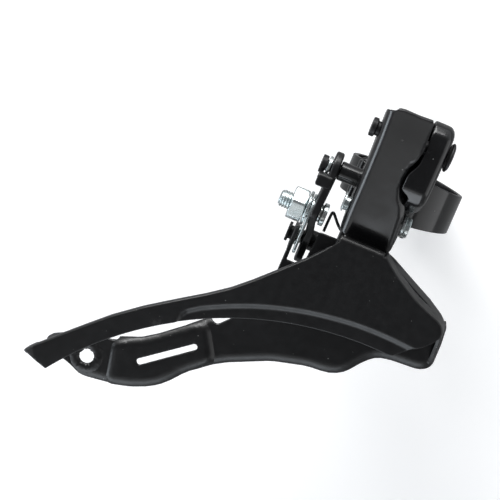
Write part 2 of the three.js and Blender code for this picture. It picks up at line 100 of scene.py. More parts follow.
# ---- outlines -----------------------------------------------------------
def rounded(points, r=1.0, ds=0.7, closed=True):
    """A polyline with its corners rounded. A point may bring its own radius as a third number."""
    pts = [np.array(p[:2], float) for p in points]
    radii = [p[2] if len(p) > 2 else r for p in points]
    out, n = [], len(pts)
    for i, p in enumerate(pts):
        if not closed and i in (0, n - 1):
            out.append(p)
            continue
        a, b = pts[i - 1] - p, pts[(i + 1) % n] - p
        la, lb = np.linalg.norm(a), np.linalg.norm(b)
        ua, ub = a / la, b / lb
        turn = math.pi - math.acos(float(np.clip(ua @ ub, -1, 1)))
        if turn < 0.03 or radii[i] <= 0:
            out.append(p)
            continue
        reach = min(radii[i] * math.tan(turn / 2), 0.49 * la, 0.49 * lb)
        fit = reach / math.tan(turn / 2)
        middle = p + (ua + ub) / np.linalg.norm(ua + ub) * fit / math.cos(turn / 2)
        s, e = p + ua * reach - middle, p + ub * reach - middle
        for k in range(int(math.ceil(turn / 0.3)) + 1):
            f = k / math.ceil(turn / 0.3)
            share = [math.sin((1 - f) * turn), math.sin(f * turn)]
            out.append(middle + (s * share[0] + e * share[1]) / math.sin(turn))
    return divided(out, ds, closed)


def divided(points, ds, closed=True):
    """The same polyline with long edges divided and doubled points dropped."""
    out = []
    n = len(points)
    for i in range(n if closed else n - 1):
        a, b = np.array(points[i]), np.array(points[(i + 1) % n])
        length = np.linalg.norm(b - a)
        if length < 0.03:
            continue
        parts = max(1, int(math.ceil(length / ds)))
        out += [a + (b - a) * k / parts for k in range(parts)]
    if not closed:
        out.append(np.array(points[-1]))
    return np.array(out)


def circle(x, y, r, n=32):
    """A closed loop of n points."""
    return np.array([(x + r * math.cos(a), y + r * math.sin(a))
                     for a in np.linspace(0, 2 * math.pi, n, endpoint=False)])


def arc(x, y, r, start, end, n=8):
    """Points on an arc from start to end, in degrees."""
    return [(x + r * math.cos(math.radians(a)), y + r * math.sin(math.radians(a)))
            for a in np.linspace(start, end, n + 1)]


def cage_arc(r, start, end, n):
    """Points (x, z) round the chainring's axis, by angles forward from straight up."""
    return [(RING_X + r * math.sin(math.radians(a)), RING_Z + r * math.cos(math.radians(a)))
            for a in np.linspace(start, end, n + 1)]


def area(loop):
    """Signed area, positive for a loop that turns left."""
    x, y = loop[:, 0], loop[:, 1]
    return 0.5 * float(np.sum(x * np.roll(y, -1) - np.roll(x, -1) * y))


def inside(points, loop):
    """Which points are inside the loop, by counting crossings to the right."""
    x, y = points[:, 0][:, None], points[:, 1][:, None]
    ax, ay = loop[:, 0][None], loop[:, 1][None]
    bx, by = np.roll(loop[:, 0], -1)[None], np.roll(loop[:, 1], -1)[None]
    cross = (ay > y) != (by > y)
    run = np.where(np.abs(by - ay) < 1e-12, 1e-12, by - ay)
    return (np.sum(cross & (x < (bx - ax) * (y - ay) / run + ax), axis=1) % 2) == 1


def nearest(points, line, closed=False):
    """Distance, foot and side of points from a polyline. The side is positive to its right."""
    ends = np.roll(line, -1, axis=0) if closed else line[1:]
    starts = line if closed else line[:-1]
    d = ends - starts
    rel = points[:, None] - starts[None]
    t = np.clip(np.sum(rel * d[None], -1) / np.sum(d * d, -1)[None], 0, 1)
    foot = starts[None] + t[..., None] * d[None]
    gap = np.linalg.norm(points[:, None] - foot, axis=-1)
    k = np.argmin(gap, axis=1)
    rows = np.arange(len(points))
    off = points - foot[rows, k]
    side = off[:, 0] * d[k, 1] - off[:, 1] * d[k, 0]
    return gap[rows, k], foot[rows, k], side


def right_normals(line):
    """Unit normals to the right of a polyline."""
    d = np.gradient(line, axis=0)
    n = np.stack([d[:, 1], -d[:, 0]], 1)
    return n / np.linalg.norm(n, axis=1)[:, None]


def inset_loop(loop, amount):
    """The loop moved to its left by amount."""
    a = loop - np.roll(loop, 1, axis=0)
    b = np.roll(loop, -1, axis=0) - loop
    na = np.stack([-a[:, 1], a[:, 0]], 1) / np.linalg.norm(a, axis=1)[:, None]
    nb = np.stack([-b[:, 1], b[:, 0]], 1) / np.linalg.norm(b, axis=1)[:, None]
    m = na + nb
    m /= np.maximum(np.linalg.norm(m, axis=1), 1e-9)[:, None]
    grow = 1 / np.clip(np.sum(m * na, 1), 0.6, 1)
    return loop + m * (amount * grow)[:, None]


def smooth(x):
    """Runs gently from 0 to 1 as x does."""
    x = np.clip(x, 0, 1)
    return x * x * (3 - 2 * x)


# ---- meshes -------------------------------------------------------------
class Shape:
    """Closed surfaces gathered for one piece."""

    def __init__(self):
        self.verts, self.faces = [], []

    def add(self, verts, faces):
        base = len(self.verts)
        self.verts += [tuple(v) for v in verts]
        self.faces += [tuple(i + base for i in f) for f in faces]
        return self

    def grid(self, rings, endless=False):
        """Loops of equally many points joined in order. The ends are capped, or joined if endless."""
        n = len(rings[0])
        verts = [p for ring in rings for p in ring]
        faces = []
        count = len(rings)
        for i in range(count if endless else count - 1):
            for j in range(n):
                a, b = i * n + j, i * n + (j + 1) % n
                c, d = ((i + 1) % count) * n + (j + 1) % n, ((i + 1) % count) * n + j
                faces.append((a, b, c, d))
        if not endless:
            for ring, centre in ((0, rings[0]), (count - 1, rings[-1])):
                verts.append(np.mean(np.array(centre), axis=0))
                hub = len(verts) - 1
                faces += [(ring * n + j, ring * n + (j + 1) % n, hub) for j in range(n)]
        return self.add(verts, faces)


def sheet(shape, surf, outline, t, holes=(), step=1.6, finer=(), edge=0.3, sign=1):
    """A sheet of thickness t with rounded edges. surf maps flat (u, v) points to space.

    step is the spacing of its inner points, and finer lists smaller spacings with where they hold.
    """
    loops = [outline if area(outline) > 0 else outline[::-1]]
    loops += [h[::-1] if area(h) > 0 else h for h in holes]
    e = min(edge, 0.499 * t)
    quarter = [(e * (1 - math.sin(a)), e * (1 - math.cos(a))) for a in np.linspace(0, HALF_PI, 4)]
    rim = quarter + [(i, t - w) for i, w in reversed(quarter)]
    flats = [inset_loop(loop, e) for loop in loops]
    pool = fill_points(loops, flats, ((step, None), *finer), e)
    edges, start = [], 0
    for f in flats:
        edges += [(start + i, start + (i + 1) % len(f)) for i in range(len(f))]
        start += len(f)
    points, triangles = triangulated(pool, edges, flats)
    n = len(points)

    def placed(uv, w):
        near = 0.02
        du, dv = np.array([near, 0]), np.array([0, near])
        su, sv = surf(uv + du) - surf(uv - du), surf(uv + dv) - surf(uv - dv)
        normal = np.cross(su, sv)
        normal /= np.maximum(np.linalg.norm(normal, axis=1), 1e-12)[:, None]
        return surf(uv) + sign * normal * w

    verts = list(placed(points, 0)) + list(placed(points, t))
    faces = [tuple(f) for f in triangles] + [(c + n, b + n, a + n) for a, b, c in triangles]
    start = 0
    for loop in loops:
        m = len(loop)
        rows = [list(range(start, start + m))]
        for gap, depth in rim[1:-1]:
            rows.append(list(range(len(verts), len(verts) + m)))
            verts += list(placed(inset_loop(loop, gap), depth))
        rows.append([i + n for i in range(start, start + m)])
        for a, b in zip(rows, rows[1:]):
            faces += [(a[j], b[j], b[(j + 1) % m], a[(j + 1) % m]) for j in range(m)]
        start += m
    return shape.add(verts, faces)


def fill_points(loops, flats, grids, e):
    """The flat loops and the points between them, from coarse and fine grids."""
    found = []
    lo, hi = loops[0].min(0), loops[0].max(0)
    for k, (step, where) in enumerate(grids):
        xs = np.arange(lo[0] + step / 2, hi[0], step)
        ys = np.arange(lo[1] + step / 2, hi[1], step * 0.866)
        gx, gy = np.meshgrid(xs, ys)
        gx = gx + (np.arange(len(ys))[:, None] % 2) * step / 2
        p = np.stack([gx.ravel(), gy.ravel()], 1)
        keep = inside(p, loops[0])
        for hole in loops[1:]:
            keep &= ~inside(p, hole)
        if where is not None:
            keep &= where(p[:, 0], p[:, 1])
        for _, finer in grids[k + 1:]:
            keep &= ~finer(p[:, 0], p[:, 1])
        p = p[keep]
        for loop in loops:
            if len(p):
                p = p[nearest(p, loop, True)[0] > e + 0.45 * min(step, 0.8)]
        found.append(p)
    return np.concatenate(flats + found)


def triangulated(pool, edges, flats):
    """Delaunay triangles of the pool inside the first loop and outside the others."""
    out = delaunay_2d_cdt([Vector(p) for p in pool], edges, [], 0, 1e-6)
    coords = np.array([tuple(v) for v in out[0]])
    index, extra = [], []
    for i, source in enumerate(out[3]):
        if source:
            index.append(source[0])
        else:
            index.append(len(pool) + len(extra))
            extra.append(coords[i])
    points = np.concatenate([pool, extra]) if extra else pool
    tri = np.array([[index[i] for i in f] for f in out[2]])
    middle = points[tri].mean(axis=1)
    keep = inside(middle, flats[0])
    for hole in flats[1:]:
        keep &= ~inside(middle, hole)
    return points, tri[keep].tolist()


def lathe(shape, profile, centre, axis, seg=40, radius=None):
    """A closed (along, radius) profile turned round an axis. radius may change r by angle."""
    axis = np.array(axis, float)
    axis /= np.linalg.norm(axis)
    side = np.cross(axis, (0, 0, 1) if abs(axis[2]) < 0.9 else (1, 0, 0))
    side /= np.linalg.norm(side)
    third = np.cross(axis, side)
    solid = profile[0][1] < 1e-6
    rows = [p for p in profile if p[1] >= 1e-6]
    rings = []
    for a, r in rows:
        ring = []
        for th in np.linspace(0, 2 * math.pi, seg, endpoint=False):
            rr = radius(a, r, th) if radius else r
            ring.append(np.array(centre) + axis * a + rr * (side * math.cos(th)
                                                            + third * math.sin(th)))
        rings.append(ring)
    return shape.grid(rings, endless=not solid)


def turned(points, r=0.2):
    """A lathe profile with rounded corners. It is closed round a bore if it starts off the axis."""
    return [tuple(p) for p in rounded(points, r, ds=50, closed=points[0][1] > 0)]


def tube(shape, points, r, sides, per):
    """A round wire along a smooth curve through the points."""
    p = np.array(points, float)
    ext = np.vstack([2 * p[0] - p[1], p, 2 * p[-1] - p[-2]])
    line = []
    for i in range(1, len(ext) - 2):
        for k in range(per):
            t = k / per
            a, b, c, d = ext[i - 1], ext[i], ext[i + 1], ext[i + 2]
            line.append(0.5 * (2 * b + (c - a) * t + (2 * a - 5 * b + 4 * c - d) * t * t
                               + (3 * b - a - 3 * c + d) * t ** 3))
    line.append(p[-1])
    line = np.array(line)
    tangent = np.gradient(line, axis=0)
    tangent /= np.linalg.norm(tangent, axis=1)[:, None]
    up = np.cross(tangent[0], (0.3, 0.5, 0.8))
    rings = []
    for q, t in zip(line, tangent):
        up = up - t * (up @ t)
        up /= np.linalg.norm(up)
        out = np.cross(t, up)
        rings.append([q + r * (up * math.cos(a) + out * math.sin(a))
                      for a in np.linspace(0, 2 * math.pi, sides, endpoint=False)])
    return shape.grid(rings)


def built_mesh(name, shape, weld=False):
    """A mesh in metres, its faces turned outwards."""
    mesh = bpy.data.meshes.new(name)
    mesh.from_pydata([Vector(v) * MM for v in shape.verts], [], shape.faces)
    made = bmesh.new()
    made.from_mesh(mesh)
    if weld:
        bmesh.ops.remove_doubles(made, verts=made.verts, dist=2e-7)
    bmesh.ops.recalc_face_normals(made, faces=made.faces)
    made.to_mesh(mesh)
    made.free()
    return mesh


def added(name, data):
    """A new object, linked to the scene."""
    obj = bpy.data.objects.new(name, data)
    bpy.context.scene.collection.objects.link(obj)
    return obj


def weigh_normals(mesh):
    """Smooth shading in which big faces keep their own direction."""
    mesh.shade_smooth()
    sums = np.zeros((len(mesh.vertices), 3))
    for f in mesh.polygons:
        push = np.array(f.normal) * f.area
        for i in f.vertices:
            sums[i] += push
    sums /= np.maximum(np.linalg.norm(sums, axis=1), 1e-20)[:, None]
    mesh.normals_split_custom_set_from_vertices(sums.tolist())


def piece(node, how, shape, ride=True):
    """The object that stands for a CAD node, on its body and in its material slot."""
    name = f"{node}_{how}"
    mesh = built_mesh(name, shape, weld=True)
    weigh_normals(mesh)
    mesh.materials.append(FINISH[SLOT_OF[node]])
    obj = added(name, mesh)
    if ride:
        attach(obj, BODY_OF[node])
    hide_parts(node)
    return obj


def cut(shape, tool):
    """shape less tool, both closed."""
    a, b = (added(name, built_mesh(name, s)) for name, s in (("cut_body", shape), ("cut_tool", tool)))
    change = a.modifiers.new("cut", "BOOLEAN")
    change.object, change.operation, change.solver = b, "DIFFERENCE", "EXACT"
    done = a.evaluated_get(bpy.context.evaluated_depsgraph_get()).to_mesh()
    result = Shape().add([np.array(v.co) / MM for v in done.vertices],
                         [tuple(f.vertices) for f in done.polygons])
    for obj in (a, b):
        mesh = obj.data
        bpy.data.objects.remove(obj)
        bpy.data.meshes.remove(mesh)
    return result


def block(lo, hi):
    """A plain box, used only to cut with."""
    x0, y0, z0 = lo
    x1, y1, z1 = hi
    verts = [(x, y, z) for x in (x0, x1) for y in (y0, y1) for z in (z0, z1)]
    faces = [(0, 1, 3, 2), (4, 6, 7, 5), (0, 4, 5, 1), (2, 3, 7, 6), (0, 2, 6, 4), (1, 5, 7, 3)]
    return Shape().add(verts, faces)


# ---- surfaces -----------------------------------------------------------
def plane_xz(y, height=None):
    """The plane at y, with height(x, z) added to y."""
    def surf(p):
        lift = height(p[:, 0], p[:, 1]) if height else 0
        return np.stack([p[:, 0], y + lift + 0 * p[:, 0], p[:, 1]], 1)
    return surf


def plane_yz(x, height=None):
    """The plane at x, with height(y, z) added to x."""
    def surf(p):
        lift = height(p[:, 0], p[:, 1]) if height else 0
        return np.stack([x + lift + 0 * p[:, 0], p[:, 0], p[:, 1]], 1)
    return surf


def folded(route):
    """The sheet whose flat u is X and whose flat v runs along a route in the YZ plane."""
    def surf(p):
        yz = route(p[:, 1])
        return np.stack([p[:, 0], yz[:, 0], yz[:, 1]], 1)
    return surf


def bend(points, line, r, closed=False, angle=HALF_PI):
    """Flat points beyond the line's right side are turned back through an angle, on radius r."""
    gap, foot, side = nearest(points, line, closed)
    q = np.where(side > 0, gap, 0)
    arc_end = r * angle
    a = np.where(q < arc_end, r * np.sin(q / r),
                 r * math.sin(angle) + (q - arc_end) * math.cos(angle))
    b = np.where(q < arc_end, r * (1 - np.cos(q / r)),
                 r * (1 - math.cos(angle)) + (q - arc_end) * math.sin(angle))
    out = (points - foot) / np.maximum(gap, 1e-9)[:, None]
    flat = np.where((q > 1e-9)[:, None], foot + out * a[:, None], points)
    return flat, b


def path(points, r, ds=0.15):
    """A function from length along a rounded polyline to its points."""
    line = rounded(points, r, ds, closed=False)
    length = np.concatenate([[0], np.cumsum(np.linalg.norm(np.diff(line, axis=0), axis=1))])

    def at(s):
        s = np.asarray(s)
        x = np.interp(s, length, line[:, 0])
        y = np.interp(s, length, line[:, 1])
        first, last = line[1] - line[0], line[-1] - line[-2]
        first, last = first / np.linalg.norm(first), last / np.linalg.norm(last)
        before, after = np.minimum(s, 0), np.maximum(s - length[-1], 0)
        return np.stack([x + first[0] * before + last[0] * after,
                         y + first[1] * before + last[1] * after], -1)
    return at, float(length[-1])


def on_link(s, out):
    """A point [y, z] of the outer link: s along it from the upper pivot, out towards the ring."""
    return OUTER_TOP + s * ALONG + out * OUTWARD


# ---- materials ----------------------------------------------------------
def add_node(tree, kind, inputs=None, **settings):
    """A node with its settings, and its inputs linked or set."""
    made = tree.nodes.new(kind)
    for key, value in settings.items():
        setattr(made, key, value)
    for key, value in (inputs or {}).items():
        socket = made.inputs[key]
        if isinstance(value, bpy.types.NodeSocket):
            tree.links.new(value, socket)
        else:
            socket.default_value = (*value, 1) if socket.type == "RGBA" else value
    return made


def add_ramp(tree, value, stops):
    """Colours or greys between (position, colour) stops."""
    made = add_node(tree, "ShaderNodeValToRGB", {"Fac": value})
    ramp = made.color_ramp
    while len(ramp.elements) < len(stops):
        ramp.elements.new(0.5)
    for element, (at, colour) in zip(ramp.elements, stops):
        element.position = at
        grey = isinstance(colour, (int, float))
        element.color = (colour,) * 3 + (1,) if grey else (*colour, 1)
    return made.outputs["Color"]


class Nodes:
    """A short way to write a material."""

    def __init__(self, name):
        self.material = bpy.data.materials.new(name)
        self.material.use_nodes = True
        self.tree = self.material.node_tree
        self.shader = self.tree.nodes["Principled BSDF"]
        self.place = self.node("ShaderNodeTexCoord").outputs["Object"]

    def node(self, kind, inputs=None, **settings):
        return add_node(self.tree, kind, inputs, **settings)

    def noise(self, scale, detail=3.0, place=None):
        return self.node("ShaderNodeTexNoise", {
            "Vector": place or self.place, "Scale": scale, "Detail": detail,
            "Roughness": 0.5}).outputs["Fac"]

    def ramp(self, value, stops):
        return add_ramp(self.tree, value, stops)

    def cloud(self, scale, detail, low, high, end=0.7, place=None):
        """Noise that runs from one colour or number to another."""
        return self.ramp(self.noise(scale, detail, place), [(0.3, low), (end, high)])

    def math(self, kind, a, b):
        return self.node("ShaderNodeMath", {0: a, 1: b}, operation=kind).outputs[0]

    def mix(self, share, a, b):
        return self.node("ShaderNodeMix", {0: share, 6: a, 7: b}, data_type="RGBA").outputs[2]

    def set(self, **inputs):
        for key, value in inputs.items():
            socket = self.shader.inputs[key.replace("_", " ")]
            if isinstance(value, bpy.types.NodeSocket):
                self.tree.links.new(value, socket)
            else:
                socket.default_value = value

    def bump(self, height, strength, distance):
        made = self.node("ShaderNodeBump", {
            "Height": height, "Strength": strength, "Distance": distance})
        self.set(Normal=made.outputs[0])

    def specks(self, cell, size, share):
        """Small round specks, one to a few cells."""
        cells = self.node("ShaderNodeTexVoronoi", {
            "Vector": self.place, "Scale": 1 / cell, "Randomness": 1.0})
        near = self.ramp(cells.outputs["Distance"], [(size * 0.6, 1.0), (size, 0.0)])
        pick = self.node("ShaderNodeSeparateColor", {"Color": cells.outputs["Color"]})
        chosen = self.math("LESS_THAN", pick.outputs[0], share)
        return self.math("MULTIPLY", near, chosen)

    def painted_edge_highlight(self, low=0.53, high=0.6):
        """A painted highlight on convex edges: 1 where the surface is strongly convex, broken up by
        noise.
        """
        point = self.node("ShaderNodeNewGeometry").outputs["Pointiness"]
        edge = self.ramp(point, [(low, 0.0), (high, 1.0)])
        patch = self.ramp(self.noise(900, 4), [(0.42, 0.0), (0.62, 1.0)])
        return self.math("MULTIPLY", edge, patch)


def gloss_black():
    m = Nodes("gloss_black_paint")
    dust = m.specks(0.0030, 0.06, 0.28)
    base = m.cloud(140, 2, (0.0042, 0.0044, 0.0048), (0.0068, 0.0070, 0.0076))
    # Painted highlight: strongly convex edges are lightened to stand in for rim highlights.
    edge_highlight = m.painted_edge_highlight()
    base = m.mix(m.math("MULTIPLY", edge_highlight, 0.25), base, (0.06, 0.06, 0.062))
    base = m.mix(m.math("MULTIPLY", dust, 0.7), base, (0.28, 0.28, 0.27))
    rough = m.cloud(420, 3, 0.17, 0.26)
    rough = m.mix(dust, rough, (0.7, 0.7, 0.7))
    m.set(Base_Color=base, Roughness=rough, Metallic=0.0)
    m.set(Coat_Weight=0.35, Coat_Roughness=0.08)
    peel = m.math("ADD", m.noise(650, 2), m.math("MULTIPLY", m.noise(2600, 2), 0.25))
    m.bump(m.math("ADD", peel, m.math("MULTIPLY", dust, 1.5)), 0.10, 0.00006)
    return m.material


def satin_black():
    m = Nodes("satin_black_paint")
    dust = m.specks(0.0030, 0.065, 0.3)
    fine = m.specks(0.0011, 0.09, 0.09)
    base = m.cloud(90, 3, (0.0030, 0.0031, 0.0034), (0.0050, 0.0052, 0.0057))
    # Painted highlight: strongly convex edges are lightened to stand in for rim highlights.
    edge_highlight = m.painted_edge_highlight()
    base = m.mix(m.math("MULTIPLY", edge_highlight, 0.3), base, (0.07, 0.07, 0.072))
    specks = m.math("MAXIMUM", dust, fine)
    base = m.mix(m.math("MULTIPLY", specks, 0.7), base, (0.30, 0.30, 0.29))
    rough = m.cloud(500, 3, 0.33, 0.43)
    m.set(Base_Color=base, Roughness=rough, Metallic=0.0)
    m.set(Coat_Weight=0.12, Coat_Roughness=0.22)
    grain = m.math("ADD", m.noise(1500, 3), m.math("MULTIPLY", m.noise(260, 2), 0.8))
    m.bump(m.math("ADD", grain, m.math("MULTIPLY", specks, 1.2)), 0.16, 0.00006)
    return m.material


def zinc_plate():
    m = Nodes("zinc_plating")
    base = m.ramp(m.noise(260, 4), [(0.3, (0.58, 0.68, 0.70)), (0.55, (0.76, 0.82, 0.82)),
                                    (0.75, (0.86, 0.87, 0.82))])
    pits = m.specks(0.0009, 0.16, 0.3)
    base = m.mix(m.math("MULTIPLY", pits, 0.4), base, (0.25, 0.27, 0.28))
    rough = m.cloud(700, 3, 0.18, 0.36)
    m.set(Base_Color=base, Roughness=rough, Metallic=0.92)
    m.bump(m.math("ADD", m.noise(1800, 3), m.math("MULTIPLY", pits, -0.8)), 0.14, 0.00005)
    return m.material


def black_oxide():
    m = Nodes("black_oxide_steel")
    base = m.cloud(380, 4, (0.012, 0.012, 0.013), (0.030, 0.030, 0.031), end=0.75)
    # Painted highlight: strongly convex edges are lightened to stand in for rim highlights.
    edge_highlight = m.painted_edge_highlight(0.52, 0.58)
    base = m.mix(m.math("MULTIPLY", edge_highlight, 0.5), base, (0.16, 0.16, 0.165))
    rough = m.cloud(900, 3, 0.34, 0.52)
    m.set(Base_Color=base, Roughness=rough, Metallic=0.55)
    m.bump(m.noise(2200, 3), 0.14, 0.00004)
    return m.material


def spring_steel():
    m = Nodes("drawn_spring_steel")
    streaks = m.node("ShaderNodeMapping", {"Vector": m.place, "Scale": (5, 1, 1)})
    base = m.cloud(700, 4, (0.07, 0.072, 0.075), (0.16, 0.165, 0.17), place=streaks.outputs[0])
    rough = m.cloud(1100, 3, 0.22, 0.4)
    m.set(Base_Color=base, Roughness=rough, Metallic=1.0)
    m.bump(m.noise(2600, 2, place=streaks.outputs[0]), 0.1, 0.00003)
    return m.material


def nylon():
    m = Nodes("moulded_nylon")
    base = m.cloud(300, 3, (0.016, 0.016, 0.017), (0.028, 0.028, 0.029))
    m.set(Base_Color=base, Roughness=m.cloud(800, 3, 0.45, 0.6))
    m.bump(m.noise(3000, 3), 0.2, 0.00004)
    return m.material


FINISH = {"gloss_black": gloss_black(), "satin_black": satin_black(), "zinc": zinc_plate(),
          "black_oxide": black_oxide(), "spring_steel": spring_steel(), "nylon": nylon()}


# ---- cage ---------------------------------------------------------------
PLATE = 1.2
OUTER_Y = -36.0
INNER_BACK = -23.4
CREST_Z = -13.8
LOWER_R = 99.1
SHELF_Z = -17.0
STEP_DEEP, STEP_WIDE = 0.85, 1.9
BOSS_DEEP = 1.05
EYE, EYE_R, EYE_DEEP = (-66.3, -75.9), 2.15, 0.55
# The top of the stepped band: (angle, radius) round the chainring's axis.
RIDGE = np.array([(-60, 96), (-31.5, 98.2), (-30.9, 99.8), (-30.2, 101.4), (-29.2, 102.3),
                  (-27.1, 102.8), (-18.9, 103.4), (-10.8, 103.8), (-2.4, 104.1), (20, 104.2)])


def gap_to(line, x, z, closed=False):
    """Distance of flat points from a line."""
    return nearest(np.stack([x, z], 1), line, closed)[0]


def cage_polar(x, z):
    """Radius and angle round the chainring's axis."""
    dx, dz = x - RING_X, z - RING_Z
    return np.hypot(dx, dz), np.degrees(np.arctan2(dx, dz))


def outer_band(x, z):
    """How far the plate's stepped lower band is pressed in."""
    r, a = cage_polar(x, z)
    edge = np.interp(a, RIDGE[:, 0], RIDGE[:, 1])
    return STEP_DEEP * smooth((edge + 0.4 - r) / STEP_WIDE)


def near_ridge(x, z):
    """Where the step of the lower band needs a fine grid."""
    r, a = cage_polar(x, z)
    return np.abs(r - np.interp(a, RIDGE[:, 0], RIDGE[:, 1]) + 0.6) < 1.7


def cage_outer():
    shape = Shape()
    top = [(-81.6, -77.1), (-79.7, -74.9), (-77.0, -72.3), (-73.5, -68.8), (-69.0, -64.5),
           (-63.0, -58.9), (-55.8, -53.2), (-48.3, -48.0), (-40.9, -43.0), (-35.4, -38.9),
           (-30.6, -34.5), (-25.0, -28.9), (-19.5, -23.3), (-16.1, -19.3)]
    crest_r, crest_left, crest_right = 1.5, -13.2, -0.42
    crest_z = CREST_Z - crest_r
    crest_end = crest_z + crest_r * HALF_PI + 0.3
    crest = [(crest_left, -15.6, 0), (crest_left, crest_end, 0.2), (crest_right, crest_end, 0.2),
             (crest_right, -14.75, 0)]
    front = [(-0.4, -14.6), (2.2, -16.7), (4.7, -18.6), (8.0, -20.6), (11.9, -22.8),
             (16.0, -24.5), (19.8, -25.8), (21.3, -26.8), (22.1, -28.2), (22.1, -29.8)]
    low = [(20.9, -31.8, 2), (19.2, -33.7, 2), (16.8, -35.3, 2), (12.3, -39.4, 0.6)]
    # The flat pattern of each fold stands out beyond its bend line.
    fold = rounded([(-1.7, -13.55), *front], 2.0, 0.4, closed=False)[::-1]
    wall_r, depth, flare = 0.4, 5.85, math.radians(80)
    flap = fold + right_normals(fold) * (wall_r * flare + depth - wall_r)
    flap = [p for p, q in zip(flap, fold) if q[1] < -14.7][::-1][:-2]
    outer = [(*flap[0], 0.8), *[(*p, 0) for p in flap[1:-1]], (*flap[-1], 2.0)]
    lip_r = 0.5
    rim = rounded([(-84.2, -80.0), *top[:-1], (-16.1, -19.3, 4),
                   (-13.7, -16.0, 1), (-13.7, -9.5)], 8, 0.6, closed=False)
    rim = (rim + right_normals(rim) * lip_r)[::-1]
    lip_depth = np.interp(rim[:, 0], [-82.4, -81.4, -79.6, -78.9, -16.5, -14.2],
                          [0.2, 4.4, 4.4, 2.6, 2.6, 0.2])
    lip_flat = rim + right_normals(rim) * (lip_depth + lip_r * (HALF_PI - 1))[:, None]
    lip_flat = [(*p, 0) for p, q in zip(lip_flat, rim) if q[0] > -82.0 and q[1] < -16.2][::-1]
    arcs = [(*p, 0) for p in cage_arc(LOWER_R, 4, -54.0, 60)]
    points = [*lip_flat, *crest, *outer, (22.1, -30.0, 1.0), *low, *arcs[1:], (-82.3, -77.9, 0.5)]
    outline = rounded(points, 1.0, 0.8)

    crease, way, tilt, tilt_end = np.array([-79.6, -76.9]), np.array([-0.86, -0.5]), 0.26, 4

    def tail_tilt(p):
        """The tail's end is pressed back along a crease across the plate."""
        return tilt * np.clip((p - crease) @ way, 0, tilt_end)

    def surf(p):
        on_crest = (p[:, 0] > crest_left - 0.3) & (p[:, 0] < crest_right + 0.04)
        flat, back = bend(p, fold, wall_r, angle=flare)
        flat, back = np.where(on_crest[:, None], p, flat), np.where(on_crest, 0, back)
        flat, lip = bend(flat, rim, lip_r)
        band = outer_band(flat[:, 0], flat[:, 1])
        q = np.where(on_crest, np.maximum(flat[:, 1] - crest_z, 0), 0)
        turn = np.minimum(q / crest_r, HALF_PI)
        over = q - turn * crest_r
        z = flat[:, 1] - q + crest_r * np.sin(turn)
        y = OUTER_Y + back + lip + band + tail_tilt(flat)
        return np.stack([flat[:, 0], y + crest_r * (1 - np.cos(turn)) + over, z], 1)

    def near_fold(x, z):
        p = np.stack([x, z], 1)
        gap, _, side = nearest(p, fold)
        rim_gap, _, rim_side = nearest(p, rim)
        close = ((gap < 1.5) & (side > -0.5)) | ((rim_gap < 1.1) & (rim_side > -0.3))
        return close | ((x > -14) & (z > -15.4))

    def fine(x, z):
        return near_ridge(x, z) | near_fold(x, z) | (x < -77.5)
    sheet(shape, surf, outline, PLATE, step=2.4, finer=[(0.36, fine)], edge=0.28, sign=-1)

    # Shelf: rolls back over the crest and carries the two pivot lugs.
    shelf_top = CREST_Z - 0.03
    route, length = path([(-34.7, shelf_top), (-33.9, shelf_top), (-33.3, SHELF_Z),
                          (-24.9, SHELF_Z)], 0.8)
    end = length - 0.1
    flap = rounded([(crest_left, 0), (-0.4, 0), (-0.3, 2.0, 0.3), (0.9, 3.9, 0.3), (-0.9, 4.4, 1),
                    (-0.9, end, 1), (crest_left, end, 1)], 0.1, 0.8)
    sheet(shape, folded(route), flap, PLATE, step=0.7, edge=0.28, sign=-1)
    lug = rounded([*arc(*OUTER_LOW, 3.5, 0, 180, 14), (-28.9, -14.1, 3), (-29.6, SHELF_Z - 0.9, 0),
                   (-23.6, SHELF_Z - 0.9, 0), (-23.3, -9.6, 6)], 0.1, 0.7)
    for x in (-13.4, -2.2):
        sheet(shape, plane_yz(x), lug, 1.4, [circle(*OUTER_LOW, PIVOT_BORE)])
    piece("cage_outer_plate", "pressed", shape)


INNER_LOWER = [(-71.8, -79.3), (-66.9, -81.3), (-64.7, -81.3), (-57.9, -80.4), (-51.7, -78.8),
               (-46.4, -76.5), (-42.8, -73.7), (-38.7, -68.6), (-34.0, -64.7), (-28.6, -61.4),
               (-17.1, -56.0), (-7.2, -53.4), (-0.6, -52.9), (3.0, -51.2), (6.4, -46.6),
               (9.3, -43.6), (12.9, -42.5), (22.6, -41.9), (24.9, -40.2)]
INNER_FRONT = [(24.8, -33.5), (24.3, -28.8), (23.4, -26.9), (17.0, -22.8), (4.6, -16.4)]
SOFT_LOWER = [(*p, 12) for p in INNER_LOWER]
LOWER_EDGE = rounded([*SOFT_LOWER, *INNER_FRONT[:3]], 3.0, 0.6, closed=False)
BOSS_TOP = [(-36.9, -52.0), (-41.7, -56.0), (-49.1, -62.2), (-53.0, -64.9), (-59.2, -67.8)]
TOP_EDGE = rounded(BOSS_TOP, 3.0, 0.6, closed=False)
BOSS = rounded([(-60.4, -69.0), (-57.8, -81.5), (-51.0, -81.0), (-44.0, -77.0), (-38.0, -71.0),
                (-32.2, -62.6), (-37.8, -53.2), (-45.5, -56.6), (-52.5, -62.2)], 3.2, 0.5)


def rolled(gap, wide, r):
    """How far back a plate's rolled edge is, at a distance from that edge."""
    q = np.clip(wide - gap, 0, wide)
    return r - np.sqrt(np.maximum(r * r - q * q, 0))


def inner_relief(x, z):
    """The inner plate's pressed boss, its rolled edges and the dished rim of its eye."""
    gap = gap_to(BOSS, x, z, True)
    signed = np.where(inside(np.stack([x, z], 1), BOSS), gap, -gap)
    raised = -BOSS_DEEP * smooth((signed + 0.5) / STEP_WIDE)
    lower = smooth((x + 70) / 8) * rolled(gap_to(LOWER_EDGE, x, z), 2.3, 3.0)
    ring = np.hypot(x - EYE[0], z - EYE[1])
    dish = -EYE_DEEP * smooth((4.5 - ring) / 0.8) * smooth((ring - 2.5) / 0.7)
    return raised + dish + lower + rolled(gap_to(TOP_EDGE, x, z), 1.7, 2.0)


